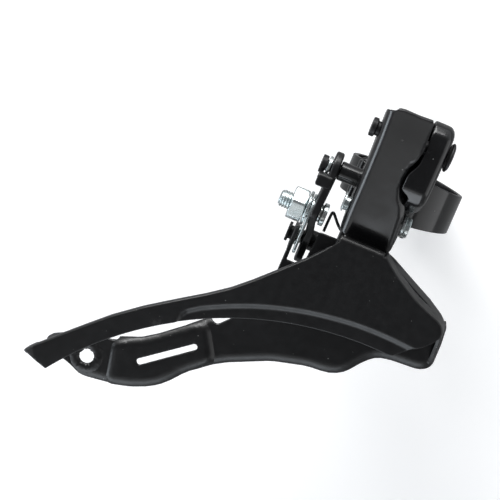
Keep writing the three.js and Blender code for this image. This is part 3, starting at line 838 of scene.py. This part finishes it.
def cage_inner():
    shape = Shape()
    top = [(-18.5, -16.9, 0.6), (-19.4, -27.6, 0.8), (-24.1, -27.6, 0.3), (-24.1, -17.7, 0.3),
           (-25.2, -17.7, 0.3), (-25.4, -33.5), (-28.5, -38.5), (-33.8, -45.6), (-31.0, -48.2),
           (-35.2, -52.7, 2), (*BOSS_TOP[0], 2), *BOSS_TOP[1:], (-61.4, -68.5), (-66.0, -68.9),
           (-72.5, -70.8), (-77.5, -73.4, 1.5), (-79.3, -75.6, 1.5), (-75.4, -79.0, 2)]
    outline = rounded([*SOFT_LOWER, *INNER_FRONT, *top], 2.2, 0.7)
    slot = rounded([(-51.6, -72.4), (-37.4, -61.2), (-38.5, -59.8), (-52.8, -70.9)], 0.85, 0.4)
    holes = [slot, circle(*EYE, EYE_R, 40), circle(*TAIL, 1.6, 24)]

    def fine(x, z):
        near_edge = (gap_to(LOWER_EDGE, x, z) < 2.6) | (gap_to(TOP_EDGE, x, z) < 2.0)
        return near_edge | (np.hypot(x - EYE[0], z - EYE[1]) < 5.0)

    def step_edge(x, z):
        return gap_to(BOSS, x, z, True) < 1.6
    flat = plane_xz(INNER_BACK, inner_relief)
    sheet(shape, flat, outline, PLATE, holes, step=2.2, finer=[(0.6, fine), (0.45, step_edge)],
          edge=0.35)
    # Front wall, towards the outer plate's half. It leans in as it nears that plate.
    line = rounded([(1.5, -14.9), (3.7, -15.7), (11.7, -19.7), (17.1, -22.3), (21.9, -25.2),
                    (23.8, -27.0), (24.4, -28.6), (24.8, -33.2), (24.9, -37.6), (24.4, -39.9),
                    (23.0, -41.5)], 2.4, 0.4, closed=False)[::-1]
    inward = -right_normals(line)
    length = np.concatenate([[0], np.cumsum(np.linalg.norm(np.diff(line, axis=0), axis=1))])
    total = float(length[-1])

    def wall(p):
        x, z, nx, nz = (np.interp(p[:, 0], length, v)
                        for v in (line[:, 0], line[:, 1], inward[:, 0], inward[:, 1]))
        lean = 0.2 * np.maximum(p[:, 1] - 0.5, 0)
        return np.stack([x + nx * lean, INNER_BACK - PLATE / 2 - p[:, 1], z + nz * lean], 1)
    deep = 5.6
    flap = rounded([(1.2, 0), (total - 0.2, 0), (total - 0.2, deep, 0.4), (total - 26.5, deep, 3),
                    (total - 32, 2.6, 4), (4.0, 1.0, 2)], 0.1, 0.6)
    sheet(shape, wall, flap, PLATE, step=0.7, sign=-1)
    lug = rounded([*arc(*INNER_LOW, 3.5, -90, 90, 14), (-24.0, INNER_LOW[1] + 3.8, 0),
                   (-24.0, INNER_LOW[1] - 5, 0)], 0.1, 0.7)
    for x, t in ((-25.2, 1.1), (-7.7, 1.2)):
        sheet(shape, plane_yz(x), lug, t, [circle(*INNER_LOW, 2.25)])
    piece("cage_inner_plate", "pressed", shape)


# ---- outer link ---------------------------------------------------------
# How far the web stands out from the line of the two pivots.
WEB_OUT = 6.0


def off_line(line, s, q):
    """The flat point q beyond a bend line, at height s along it."""
    order = np.argsort(line[:, 1])
    normals = right_normals(line)
    foot = np.array([np.interp(s, line[order, 1], line[order, k]) for k in (0, 1)])
    n = np.array([np.interp(s, line[order, 1], normals[order, k]) for k in (0, 1)])
    return foot + n / np.linalg.norm(n) * q


def outer_link():
    shape = Shape()
    left_r, right_r, slope = 3.0, 0.6, math.radians(42)
    left = rounded([(-10.9, 33.0), (-11.1, 29.5), (-11.4, 24.0), (-11.5, 18.0), (-11.7, 10.0),
                    (-12.0, 2.0), (-12.5, -8.0), (-12.6, -11.0)], 30, 0.6, closed=False)
    right = rounded([(-3.5, -12.0), (-3.3, -7.0), (-3.0, -1.0), (-3.1, 1.2), (-4.5, 4.2),
                     (-4.8, 7.0), (-4.7, 11.0), (-3.6, 14.0), (-1.9, 16.4), (-1.1, 18.8),
                     (-0.6, 24.0), (-0.2, 28.0), (-0.2, 32.0)], 3, 0.6, closed=False)
    flange = [(-8.7, 0.6), (-8.2, 2.2), (-6.5, 6.7), (-4.4, 10.1), (-1.0, 10.9), (3.0, 10.9),
              (9.0, 9.1), (15.0, 9.1), (21.0, 10.9), (26.0, 10.7), (28.6, 6.6), (29.6, 2.6),
              (30.4, 0.4)]
    wall = [(29.6, 1.9), (26.0, 2.1), (20.0, 2.2), (17.4, 2.1), (15.0, 2.2), (12.0, 1.6),
            (8.0, 1.2), (4.6, 1.0), (2.2, 0.7), (-1.0, 0.8), (-6.0, 0.6), (-9.0, 0.5)]
    points = [*[(*off_line(left, s, q + 0.63), 1.6) for s, q in flange], (-11.0, 31.5, 1),
              (0.9, 31.1, 1.6), *[(*off_line(right, s, q), 1.5) for s, q in wall], (-3.4, -10.0, 0.8),
              (-7.5, -9.8, 3), (-11.2, -9.9, 3), (-13.0, -9.6, 1.5)]
    outline = rounded(points, 1.5, 0.7)

    def surf(p):
        flat, first = bend(p, left, left_r)
        flat, second = bend(flat, right, right_r, angle=slope)
        crown = 0.25 * smooth((flat[:, 1] + 9) / 9) * smooth((30 - flat[:, 1]) / 9)
        middle = 1 - ((flat[:, 0] + 8) / 7) ** 2
        out = WEB_OUT - first - second + np.clip(middle, 0, 1) * crown
        yz = OUTER_TOP + flat[:, 1:2] * ALONG + out[:, None] * OUTWARD
        return np.stack([flat[:, 0], yz[:, 0], yz[:, 1]], 1)
    q_pin = WEB_OUT + left_r * (HALF_PI - 1)
    holes = [circle(*off_line(left, s, q_pin), PIVOT_BORE) for s in (0.0, LINK_LENGTH)]
    sheet(shape, surf, outline, 1.4, holes, step=0.75)
    upper = [(-4.2, 5.2), (-4.2, 0), (-3, -3), (0, -4.2), (3, -3), (4.2, 0), (4.4, 5.2)]
    lower = [(19, 5.2), (20, 0), (21.6, -3.2), (24, -4.2), (26.6, -3.2), (28.2, 0), (29, 5.2)]
    for rim, x, pin in ((upper, -4.4, OUTER_TOP), (lower, 0, OUTER_LOW)):
        lug = rounded([tuple(on_link(s, out)) for s, out in rim], 1.8, 0.6)
        sheet(shape, plane_yz(x), lug, 1.2, [circle(*pin, PIVOT_BORE)], edge=0.28)
    piece("outer_link", "pressed", shape)


# ---- bracket ------------------------------------------------------------
# The cheek's outline (y, z), seen from +X.
SHELL_SIDE = [(-17.8, -6.4), (-17.8, 20.4), (-30.0, 23.2), (-34.8, 24.2), (-37.6, 23.3),
              (-39.3, 21.0), (-40.0, 17.5), (-39.8, 10.0), (-39.3, 4.8), (-37.6, 1.4),
              (-32.2, -1.3), (-29.0, -1.8), (-25.6, -2.0), (-22.8, -4.2), (-20.4, -6.2)]


def bracket():
    shape = Shape()
    r = 2.3
    side = rounded(SHELL_SIDE, 3.0, 0.6)
    line = inset_loop(side, r)
    depth = np.full(len(line), 6.0)
    y, z = side[:, 0], side[:, 1]
    front = (y < -30) & (z < 14)
    depth = np.where(front, 6 + 1.7 * smooth((12.5 - z) / 5), depth)
    low = smooth((4.2 - z) / 2) * (y < -17.0)
    depth = depth * (1 - low) + 5.0 * low
    reach = depth + r * (HALF_PI - 1)
    loop_normals = (side - line) / np.linalg.norm(side - line, axis=1)[:, None]
    outline = divided(list(line + loop_normals * reach[:, None]), 0.8)

    def surf(p):
        flat, back = bend(p, line, r, closed=True)
        dimple = np.hypot(back - 5.0, flat[:, 1] - 16.5)
        dent = -0.3 * smooth((1.3 - dimple) / 1.2) * (flat[:, 0] < -36)
        return np.stack([4.0 - back, flat[:, 0] + dent, flat[:, 1]], 1)
    bores = [circle(*OUTER_TOP, PIVOT_BORE), circle(*INNER_TOP, TOP_BORE)]
    sheet(shape, surf, outline, 1.4, bores[:1], step=0.8, edge=0.35, sign=-1)
    back, left, top = -17.8, -12.9, 20.4
    cheek = rounded([(back, top, 0.8), (back, 6.4, 1), (-18.6, 3.6), *arc(*INNER_TOP, 3.5, 0, -110, 6),
                     (-26.4, 4.4), (-31.6, 9.6), *arc(*OUTER_TOP, 4.2, 250, 80, 12), (-30, top)],
                    1.5, 0.7)
    sheet(shape, plane_yz(left), cheek, 1.5, bores, edge=0.4)
    base = rounded([(left, 6.4), (left, top), (3.4, top), (3.4, -6.2), (-6.3, -6.2), (-6.3, 6.4, 1)],
                   1.2, 0.8)
    rivets = [circle(0, z, 1.3, 20) for z in (RIVET_Z, -RIVET_Z)]
    sheet(shape, plane_xz(-19.3), base, 1.5, rivets, edge=0.4, sign=-1)
    fold_start = -28.0
    route, length = path([(fold_start, top), (back, top), (back, 12.0)], 1.6)
    flap = rounded([(left, -2), (-1.8, -2), (-1.8, length), (left, length)], 1.0, 0.7)
    screws = [circle(x, LIMIT_Y - fold_start, 1.62, 24) for x in LIMIT_X]
    sheet(shape, folded(route), flap, 1.4, screws, step=0.7, edge=0.35, sign=-1)
    lathe(shape, turned(ring_profile(-20, -9.9, TOP_BORE, 2.75), 0.3), at_x(INNER_TOP), (1, 0, 0))
    piece("bracket", "pressed", shape)


# ---- clamp --------------------------------------------------------------
HINGE = (HINGE_R * math.cos(math.radians(HINGE_AT)), HINGE_R * math.sin(math.radians(HINGE_AT)))
BOLT_DIR = np.array([-math.sin(math.radians(BOLT_AT)), math.cos(math.radians(BOLT_AT)), 0])
BOLT_RADIAL = np.array([math.cos(math.radians(BOLT_AT)), math.sin(math.radians(BOLT_AT)), 0])
BOLT_CENTRE = BOLT_RADIAL * BOLT_OUT


def wrapped(r):
    """Flat (arc length at the tube, height) to a cylinder."""
    def surf(p):
        a = p[:, 0] / TUBE_R
        return np.stack([r * np.cos(a), r * np.sin(a), p[:, 1]], 1)
    return surf


def on_ear(out, along, up):
    """Places by their distance out from the tube's axis, along the bolt and upwards."""
    return BOLT_RADIAL * out[:, None] + BOLT_DIR * along[:, None] + np.array([0, 0, 1]) * up[:, None]


def clamp_half(node, start, end, half_at, ear_side, knuckles):
    """A band round the tube between two angles, with an ear at the bolt and knuckles at the hinge."""
    shape = Shape()
    a = np.radians(np.linspace(start, end, 60))
    top = [(TUBE_R * x, half_at(x)) for x in a]
    outline = rounded(top + [(u, -v) for u, v in top[::-1]], 0.8, 0.8)
    sheet(shape, wrapped(TUBE_R), outline, 1.3, step=1.2, edge=0.25)
    # The ear: a flat tab that leaves the band on a small radius.
    route, length = path([(BAND_R + EAR_END, 0.0), (TUBE_R + 0.55, 0.0),
                          (TUBE_R + 0.2, ear_side * 2.6)], 1.4)

    def ear(p):
        rt = route(p[:, 0])
        return on_ear(rt[:, 0], ear_side * 0.3 + rt[:, 1], p[:, 1])
    root, z = length - 0.4, BAND_HALF
    tab = rounded([(0, -z, 2.4), (root, -z, 0.5), (root, z, 0.5), (0, z, 2.4)], 2.4, 0.7)
    bolt = circle(BAND_R + EAR_END - BOLT_OUT, 0, 3.35, 36)
    sheet(shape, ear, tab, 2.0, [bolt], step=0.8, edge=0.45, sign=-ear_side)
    for z0, z1 in knuckles:
        lathe(shape, turned(ring_profile(z0, z1, 1.18, 2.3), 0.25), (*HINGE, 0), (0, 0, 1))
    piece(node, "pressed", shape)


def saddle_half(a):
    """Half the saddle's height at an angle: narrow at the hinge, and less to the side."""
    x = TUBE_R * math.cos(a)
    if a < math.radians(HINGE_AT + 12):
        return BAND_HALF
    return 7.0 - max(0.0, x - 4) * 0.1


# ---- inner link ---------------------------------------------------------
def inner_link():
    shape = Shape()
    outline = rounded([*arc(*INNER_TOP, 4.8, 20, 190, 12), (-28, -5.6), (-27.6, -13.2),
                       (-23, -16.8), (-18, -22), (-16.8, -27.4), (-15.2, -28.6), (-11.6, -28.6),
                       (-10.4, -27.4), (-10.2, -20), (-12.4, -16), (-16.6, -8.4)], 2.0, 0.7)

    def sway(y, z):
        wave = 0.45 * np.sin((z + 3) / 7.0) * smooth((2 - z) / 5) * smooth((z + 20) / 5)
        return wave + 0.5 * smooth((-13 - z) / 6)
    holes = [circle(*INNER_TOP, TOP_BORE), circle(*INNER_LOW, PIVOT_BORE), circle(*ANCHOR, 2.65)]
    sheet(shape, plane_yz(-22.5, sway), outline, 2.2, holes, step=1.0, edge=0.5)
    barrel = turned(ring_profile(-20.6, -9.3, PIVOT_BORE, 3.0), 0.25)
    lathe(shape, barrel, at_x(INNER_LOW), (1, 0, 0))
    way = np.degrees(math.atan2(SWING[1], SWING[0]))
    bar = rounded([*arc(*INNER_TOP, 3.3, way + 90, way + 270, 12),
                   *arc(*INNER_LOW, 3.3, way - 90, way + 90, 12)], 0.5, 0.7)
    sheet(shape, plane_yz(-9.6), bar, 1.6, holes[:2], edge=0.35)
    # The folded cable tab beside the upper pivot.
    route, length = path([(-23.0, -2.2), (-25.6, -0.7), (-27.4, -1.4), (-28.0, -4.6)], 0.9)
    flap = rounded([(-25.2, 0), (-20.9, 0), (-20.9, length, 0.7), (-25.2, length, 0.7)], 0.2, 0.4)
    sheet(shape, folded(route), flap, 1.2, step=0.4, edge=0.35)
    piece("inner_link", "pressed", shape)


# ---- hardware -----------------------------------------------------------
def rod(node, profile, corner, centre, axis=(1, 0, 0), how="turned"):
    """A piece turned from (along, radius) points whose corners are rounded."""
    piece(node, how, lathe(Shape(), turned(profile, corner), centre, axis))


def at_x(pivot):
    """The place in space of a pivot given as (y, z)."""
    return (0, float(pivot[0]), float(pivot[1]))


def stepped(*spans):
    """A solid profile from (start, end, radius) spans in order."""
    points = [(spans[0][0], 0)]
    for a, b, r in spans:
        points += [(a, r), (b, r)]
    return points + [(spans[-1][1], 0)]


def ring_profile(x0, x1, r_in, r_out):
    return [(x0, r_in), (x0, r_out), (x1, r_out), (x1, r_in)]


def pivots():
    outer_top, outer_low = at_x(OUTER_TOP), at_x(OUTER_LOW)
    inner_top, inner_low = at_x(INNER_TOP), at_x(INNER_LOW)
    rod("upper_outer_pin", stepped((-17.4, -16.0, 2.6), (-16.0, 4.2, 2.0)), 0.25, outer_top)
    rod("upper_outer_cap", [(4.5, 0), (4.5, 3.6), (4.8, 4.0), (5.2, 4.0), (5.6, 3.2), (5.6, 0)], 0.3,
        outer_top)
    rod("lower_outer_pin", stepped((-15.9, 2.4, 2.0), (2.4, 3.6, 2.9)), 0.25, outer_low)
    rod("lower_outer_washer", ring_profile(1.4, 2.2, PIVOT_BORE, 3.1), 0.15, outer_low)
    # The two inner pins have a groove for their clip near the end.
    rod("upper_inner_pin", stepped((-25.6, -24.0, 2.6), (-24.0, -7.6, 1.6), (-7.6, -6.9, 1.2),
                                   (-6.9, -6.4, 1.6)), 0.18, inner_top)
    rod("upper_inner_washer", ring_profile(-23.6, -22.8, 1.7, 2.8), 0.15, inner_top)
    rod("lower_inner_pin", stepped((-26.8, -26.0, 2.9), (-26.0, -6.0, 2.0), (-6.0, -5.3, 1.5),
                                   (-5.3, -4.6, 2.0)), 0.18, inner_low)
    rod("lower_inner_washer", ring_profile(-23.9, -22.8, 2.1, 3.0), 0.2, inner_low)
    tail, along_y = (TAIL[0], 0, TAIL[1]), (0, 1, 0)
    rod("cage_tail_spacer", ring_profile(-33.1, -24.9, 1.6, 2.8), 0.25, tail, along_y, "moulded")
    rod("cage_tail_screw", [(-34.5, 0), (-34.5, 1.1), (-34.1, 1.45), (-23.1, 1.45), (-23.1, 2.5),
                            (-22.4, 2.4), (-21.9, 1.7), (-21.8, 0)], 0.15, tail, along_y)
    half = BAND_HALF
    rod("clamp_hinge_pin", [(-half - 0.9, 0), (-half - 0.8, 1.2), (-half - 0.5, 1.7),
                            (-half - 0.2, 1.7), (-half - 0.2, 1.1), (half + 0.2, 1.1),
                            (half + 0.2, 1.9), (half + 0.7, 1.8), (half + 1, 1.1), (half + 1, 0)],
        0.12, (*HINGE, 0), (0, 0, 1))
    rivet = [(-20.35, 0), (-20.2, 1.1), (-19.8, 1.9), (-19.4, 2.2), (-19.3, 2.2), (-19.3, 1.15),
             (-16.1, 1.15), (-16.1, 0)]
    for side, z in (("upper", RIVET_Z), ("lower", -RIVET_Z)):
        rod(f"saddle_rivet_{side}", rivet, 0.12, (0, 0, z), along_y, "domed")


def clip(node, pivot, r_in, r_out, x0, x1):
    """An open retaining ring, its mouth downwards."""
    y, z = pivot
    mouth = 40
    points = arc(y, z, r_out, -90 + mouth, 270 - mouth, 26)
    points += arc(y, z, r_in, 270 - mouth, -90 + mouth, 22)
    shape = sheet(Shape(), plane_yz(x0), rounded(points, 0.3, 0.4), x1 - x0, step=0.7,
                  edge=0.12)
    piece(node, "sprung", shape)


def thread(shape, a0, a1, r, pitch, centre, axis, depth=0.32, seg=36):
    """A screw thread between two places along an axis, with chamfered ends."""
    rings_per = 8
    count = int((a1 - a0) / pitch * rings_per)
    profile = [(a0, 0), (a0, r - 0.9)]
    profile += [(a0 + (a1 - a0) * k / count, r) for k in range(1, count)]
    profile += [(a1, r - 0.3), (a1, 0)]

    def crest(a, rr, th):
        wave = abs(((a / pitch - th / (2 * math.pi)) % 1) * 2 - 1)
        lead = min(1.0, (a - a0) / 0.8)
        return min(rr, r - depth * (1 - min(1, wave * 1.25))) - 0.6 * (1 - lead)
    return lathe(shape, profile, centre, axis, seg, crest)


def cable_anchor():
    shape = Shape()
    thread(shape, -32.6, -24.0, 2.5, 0.8, at_x(ANCHOR), (1, 0, 0))
    lathe(shape, turned(stepped((-24.4, -20.0, 2.5), (-20.0, -18.6, 3.3)), 0.3), at_x(ANCHOR),
          (1, 0, 0))
    piece("cable_anchor_bolt", "threaded", shape)
    # Nut: hexagon cut back to a cone at both faces.
    corner, bore = 5.2, 2.62
    flat = corner * math.cos(math.pi / 6)
    steps = [(-29.2, bore), (-29.2, 4.3), (-29.1, 4.45), (-28.5, 6), (-25.7, 6), (-25.1, 4.6),
             (-25.0, 4.4), (-25.0, bore)]
    body = []
    for (a, r), (b, q) in zip(steps, steps[1:]):
        parts = 5 if a != b else 1
        body += [(a + (b - a) * k / parts, r + (q - r) * k / parts) for k in range(parts)]
    body.append(steps[-1])

    def hexagon(a, r, th):
        sector = (th + math.radians(NUT_TURN) + math.pi / 6) % (math.pi / 3) - math.pi / 6
        edge = flat / math.cos(sector)
        soft = -math.log(math.exp(-9 * edge) + math.exp(-9 * (corner - 0.08))) / 9
        return min(r, soft) if r > bore + 0.08 else r
    shape = lathe(Shape(), body, at_x(ANCHOR), (1, 0, 0), 96, hexagon)
    piece("cable_anchor_nut", "hex", shape)
    rod("cable_anchor_washer", ring_profile(-24.7, -23.9, bore, 5.0), 0.2, at_x(ANCHOR))
    y, z = ANCHOR
    outline = rounded([*arc(y, z, 4.6, 0, 180, 14), (y - 4.6, -24), (y - 3.4, -25), (y + 0.2, -25),
                       (y + 0.6, -17.6), (y + 3.4, -15.4)], 0.9, 0.6)

    def groove(py, pz):
        return 0.25 * smooth((0.9 - np.abs(py - y - 3.3)) / 0.5)
    shape = sheet(Shape(), plane_yz(-23.6, groove), outline, 0.8, [circle(y, z, 2.65)],
                  step=0.6, edge=0.25)
    piece("cable_clamp_plate", "pressed", shape)


def limit_screws():
    for node, x in zip(("low_limit_screw", "high_limit_screw"), LIMIT_X):
        head = lathe(Shape(), turned([(16.0, 0), (16.0, 1.3), (20.9, 1.3), (20.9, 2.1), (22.5, 2.1),
                                      (23.2, 1.3), (23.2, 0)], 0.2), (x, LIMIT_Y, 0), (0, 0, 1))
        for wide, deep in ((3, 0.3), (0.3, 3)):
            head = cut(head, block((x - wide, LIMIT_Y - deep, 22.3), (x + wide, LIMIT_Y + deep, 24)))
        thread(head, 10.5, 18.0, 1.5, 0.7, (x, LIMIT_Y, 0), (0, 0, 1), 0.25, 24)
        piece(node, "threaded", head)


def clamp_fasteners():
    centre, inward = tuple(BOLT_CENTRE), tuple(-BOLT_DIR)
    head = lathe(Shape(), turned([(2.5, 0), (2.5, 4.0), (4.9, 4.0), (5.4, 3.4), (5.4, 0)], 0.3),
                 centre, inward)
    socket = lathe(Shape(), [(3.7, 0), (3.7, 2.0), (6.5, 2.0), (6.5, 0)], centre, inward, 6)
    head = cut(head, socket)
    thread(head, -6.5, 2.8, 2.4, 0.8, centre, inward, 0.3, 32)
    piece("clamp_bolt", "threaded", head)

    def face(p):
        return on_ear(BOLT_OUT + p[:, 0], np.full(len(p), 2.5), p[:, 1])
    half = 4.2
    square = rounded([(-half, -half), (half, -half), (half, half), (-half, half)], 0.9, 0.7)
    shape = sheet(Shape(), face, square, 2.8, [circle(0, 0, 2.75)], edge=0.5, sign=-1)
    piece("clamp_nut", "square", shape)


def return_spring():
    """The coil round the lower outer pin, and its two legs."""
    turns, coil, wire_r, coil_start, coil_end = 5, 3.0, 0.42, -4.2, -9.8
    y, z = OUTER_LOW
    low = on_link(15, 3.9)
    points = [(-3.7, *low), (-3.8, y - 3.1, z + 2.8)]
    for i in range(turns * 12 + 1):
        a = math.radians(200 - i * 30)
        points.append((coil_start + (coil_end - coil_start) * i / (turns * 12),
                       y + coil * math.cos(a), z + coil * math.sin(a)))
    points += [(-10.4, -25.6, -10.4), (-11.2, -22.8, -13.2), (-12.6, -20.8, -14.6),
               (-14.0, -20, -13.9), (-15.6, -20, -12.2), (-16.7, -20, -11.0), (-17.2, -20, -11.2),
               (-17.3, -20, -13.0), (-17.4, -20, -16.9)]
    shape = tube(Shape(), points, wire_r, 12, 3)
    obj = piece("return_spring", "wound", shape, ride=False)
    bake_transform(obj)


# ---- every piece --------------------------------------------------------
cage_outer()
cage_inner()
clamp_half("clamp_saddle", HINGE_AT + 4, BOLT_AT - 1.2, saddle_half, -1,
           [(-BAND_HALF, -1.8), (1.8, BAND_HALF)])
clamp_half("clamp_band", BOLT_AT + 1.2, 360 + HINGE_AT - 4, lambda a: BAND_HALF, 1, [(-1.5, 1.5)])
outer_link()
bracket()
inner_link()
pivots()
clip("lower_outer_clip", OUTER_LOW, PIVOT_BORE, 3.2, -15.9, -15.5)
clip("upper_inner_clip", INNER_TOP, 1.25, 2.6, -7.5, -7.0)
clip("lower_inner_clip", INNER_LOW, 1.55, 3.0, -5.9, -5.4)
cable_anchor()
limit_screws()
clamp_fasteners()
return_spring()


# ---- camera -------------------------------------------------------------
def turned_camera(place, elevation, roll):
    """A camera looking along +Y, tilted down by elevation and rolled."""
    e, r = math.radians(elevation), math.radians(roll)
    back = Vector((0, -math.cos(e), math.sin(e)))
    right = Vector((1, 0, 0))
    up = back.cross(right)
    turned_right = right * math.cos(r) + up * math.sin(r)
    turned_up = -right * math.sin(r) + up * math.cos(r)
    data = bpy.data.cameras.new("camera")
    data.lens, data.sensor_width = 89.06, 36
    data.clip_start, data.clip_end = 0.01, 20
    cam = added("camera", data)
    m = Matrix((turned_right, turned_up, back)).transposed().to_4x4()
    m.translation = Vector(place) * MM
    cam.matrix_world = m
    bpy.context.scene.camera = cam


turned_camera((-34.57, -366.15, 31.16), 10, 22.5)


# ---- stage and light ----------------------------------------------------
def area_light(name, place, target, size, power, colour=(1, 1, 1)):
    data = bpy.data.lights.new(name, "AREA")
    data.shape, data.size, data.size_y = "RECTANGLE", size[0], size[1]
    data.energy, data.color = power, colour
    obj = added(name, data)
    obj.location = place
    obj.rotation_euler = (Vector(target) - Vector(place)).to_track_quat("-Z", "Y").to_euler()


def sheet_stage():
    """The pale sheet behind the object, curving forwards into a floor, and clear from behind."""
    mesh = bpy.data.meshes.new("sweep")
    y, low, high, wide, front, r = CAD_BOX[1][1] + 0.0015, -0.75, 1.2, 1.4, -1.6, 0.12
    profile = [(y, high), (y, low + r)]
    profile += [(y - r + r * math.cos(a), low + r - r * math.sin(a))
                for a in np.linspace(0.1, HALF_PI, 10)]
    profile += [(front, low)]
    verts = [(x, py, pz) for py, pz in profile for x in (-wide, wide)]
    faces = [(2 * i, 2 * i + 2, 2 * i + 3, 2 * i + 1) for i in range(len(profile) - 1)]
    mesh.from_pydata(verts, [], faces)
    mesh.shade_smooth()
    m = bpy.data.materials.new("pale_sheet")
    m.use_nodes = True
    tree = m.node_tree
    tree.nodes.clear()
    # The camera sees the sheet brighter than the object's reflections do.
    pale = add_node(tree, "ShaderNodeBsdfDiffuse", {"Color": (0.86,) * 3}).outputs[0]
    glow = add_node(tree, "ShaderNodeEmission", {"Strength": 0.3}).outputs[0]
    lit = add_node(tree, "ShaderNodeAddShader", {0: pale, 1: glow}).outputs[0]
    dim = add_node(tree, "ShaderNodeBsdfDiffuse", {"Color": (0.34,) * 3}).outputs[0]
    rays = add_node(tree, "ShaderNodeLightPath").outputs["Is Camera Ray"]
    seen = add_node(tree, "ShaderNodeMixShader", {0: rays, 1: dim, 2: lit}).outputs[0]
    clear = add_node(tree, "ShaderNodeBsdfTransparent").outputs[0]
    behind = add_node(tree, "ShaderNodeNewGeometry").outputs["Backfacing"]
    mix = add_node(tree, "ShaderNodeMixShader", {0: behind, 1: seen, 2: clear}).outputs[0]
    add_node(tree, "ShaderNodeOutputMaterial", {0: mix})
    mesh.materials.append(m)
    added("sweep", mesh)


def world_light():
    """A studio seen from the sheet: bright round the sides, dimmer behind the camera."""
    world = bpy.data.worlds.new("studio")
    bpy.context.scene.world = world
    world.use_nodes = True
    tree = world.node_tree
    tree.nodes.clear()
    place = add_node(tree, "ShaderNodeTexCoord").outputs["Generated"]
    split = add_node(tree, "ShaderNodeSeparateXYZ", {0: place})
    along = add_node(tree, "ShaderNodeMapRange", {
        "Value": split.outputs["Y"], "From Min": -1, "From Max": 1}).outputs[0]
    sides = add_ramp(tree, along, [(0.08, (0.10, 0.10, 0.105)), (0.5, (0.85, 0.87, 0.9))])
    light = add_node(tree, "ShaderNodeBackground", {0: sides}).outputs[0]
    white = add_node(tree, "ShaderNodeBackground", {0: (1, 1, 1)}).outputs[0]
    # The camera sees plain white.
    rays = add_node(tree, "ShaderNodeLightPath").outputs["Is Camera Ray"]
    mix = add_node(tree, "ShaderNodeMixShader", {0: rays, 1: light, 2: white}).outputs[0]
    add_node(tree, "ShaderNodeOutputWorld", {0: mix})


sheet_stage()
world_light()
CENTRE, FRONT = (-0.02, 0, -0.03), (-0.02, -0.03, 0)
area_light("key", (-0.55, -0.45, 0.75), CENTRE, (0.5, 0.5), 9)
area_light("side", (0.85, -0.35, 0.05), CENTRE, (0.9, 0.9), 1.4)
area_light("top", (-0.2, -0.14, 0.85), (-0.02, -0.03, -0.03), (0.9, 0.24), 4.5)
area_light("left", (-0.6, -0.05, -0.28), (-0.04, -0.03, 0), (0.25, 0.5), 1.6, (0.84, 0.92, 1.0))
area_light("below", (-0.1, -0.5, -0.6), FRONT, (0.9, 0.5), 0.55)
area_light("under", (-0.1, -0.22, -0.58), FRONT, (0.9, 0.3), 1.9, (0.86, 0.93, 1.0))
bpy.context.scene.view_settings.view_transform = "Standard"
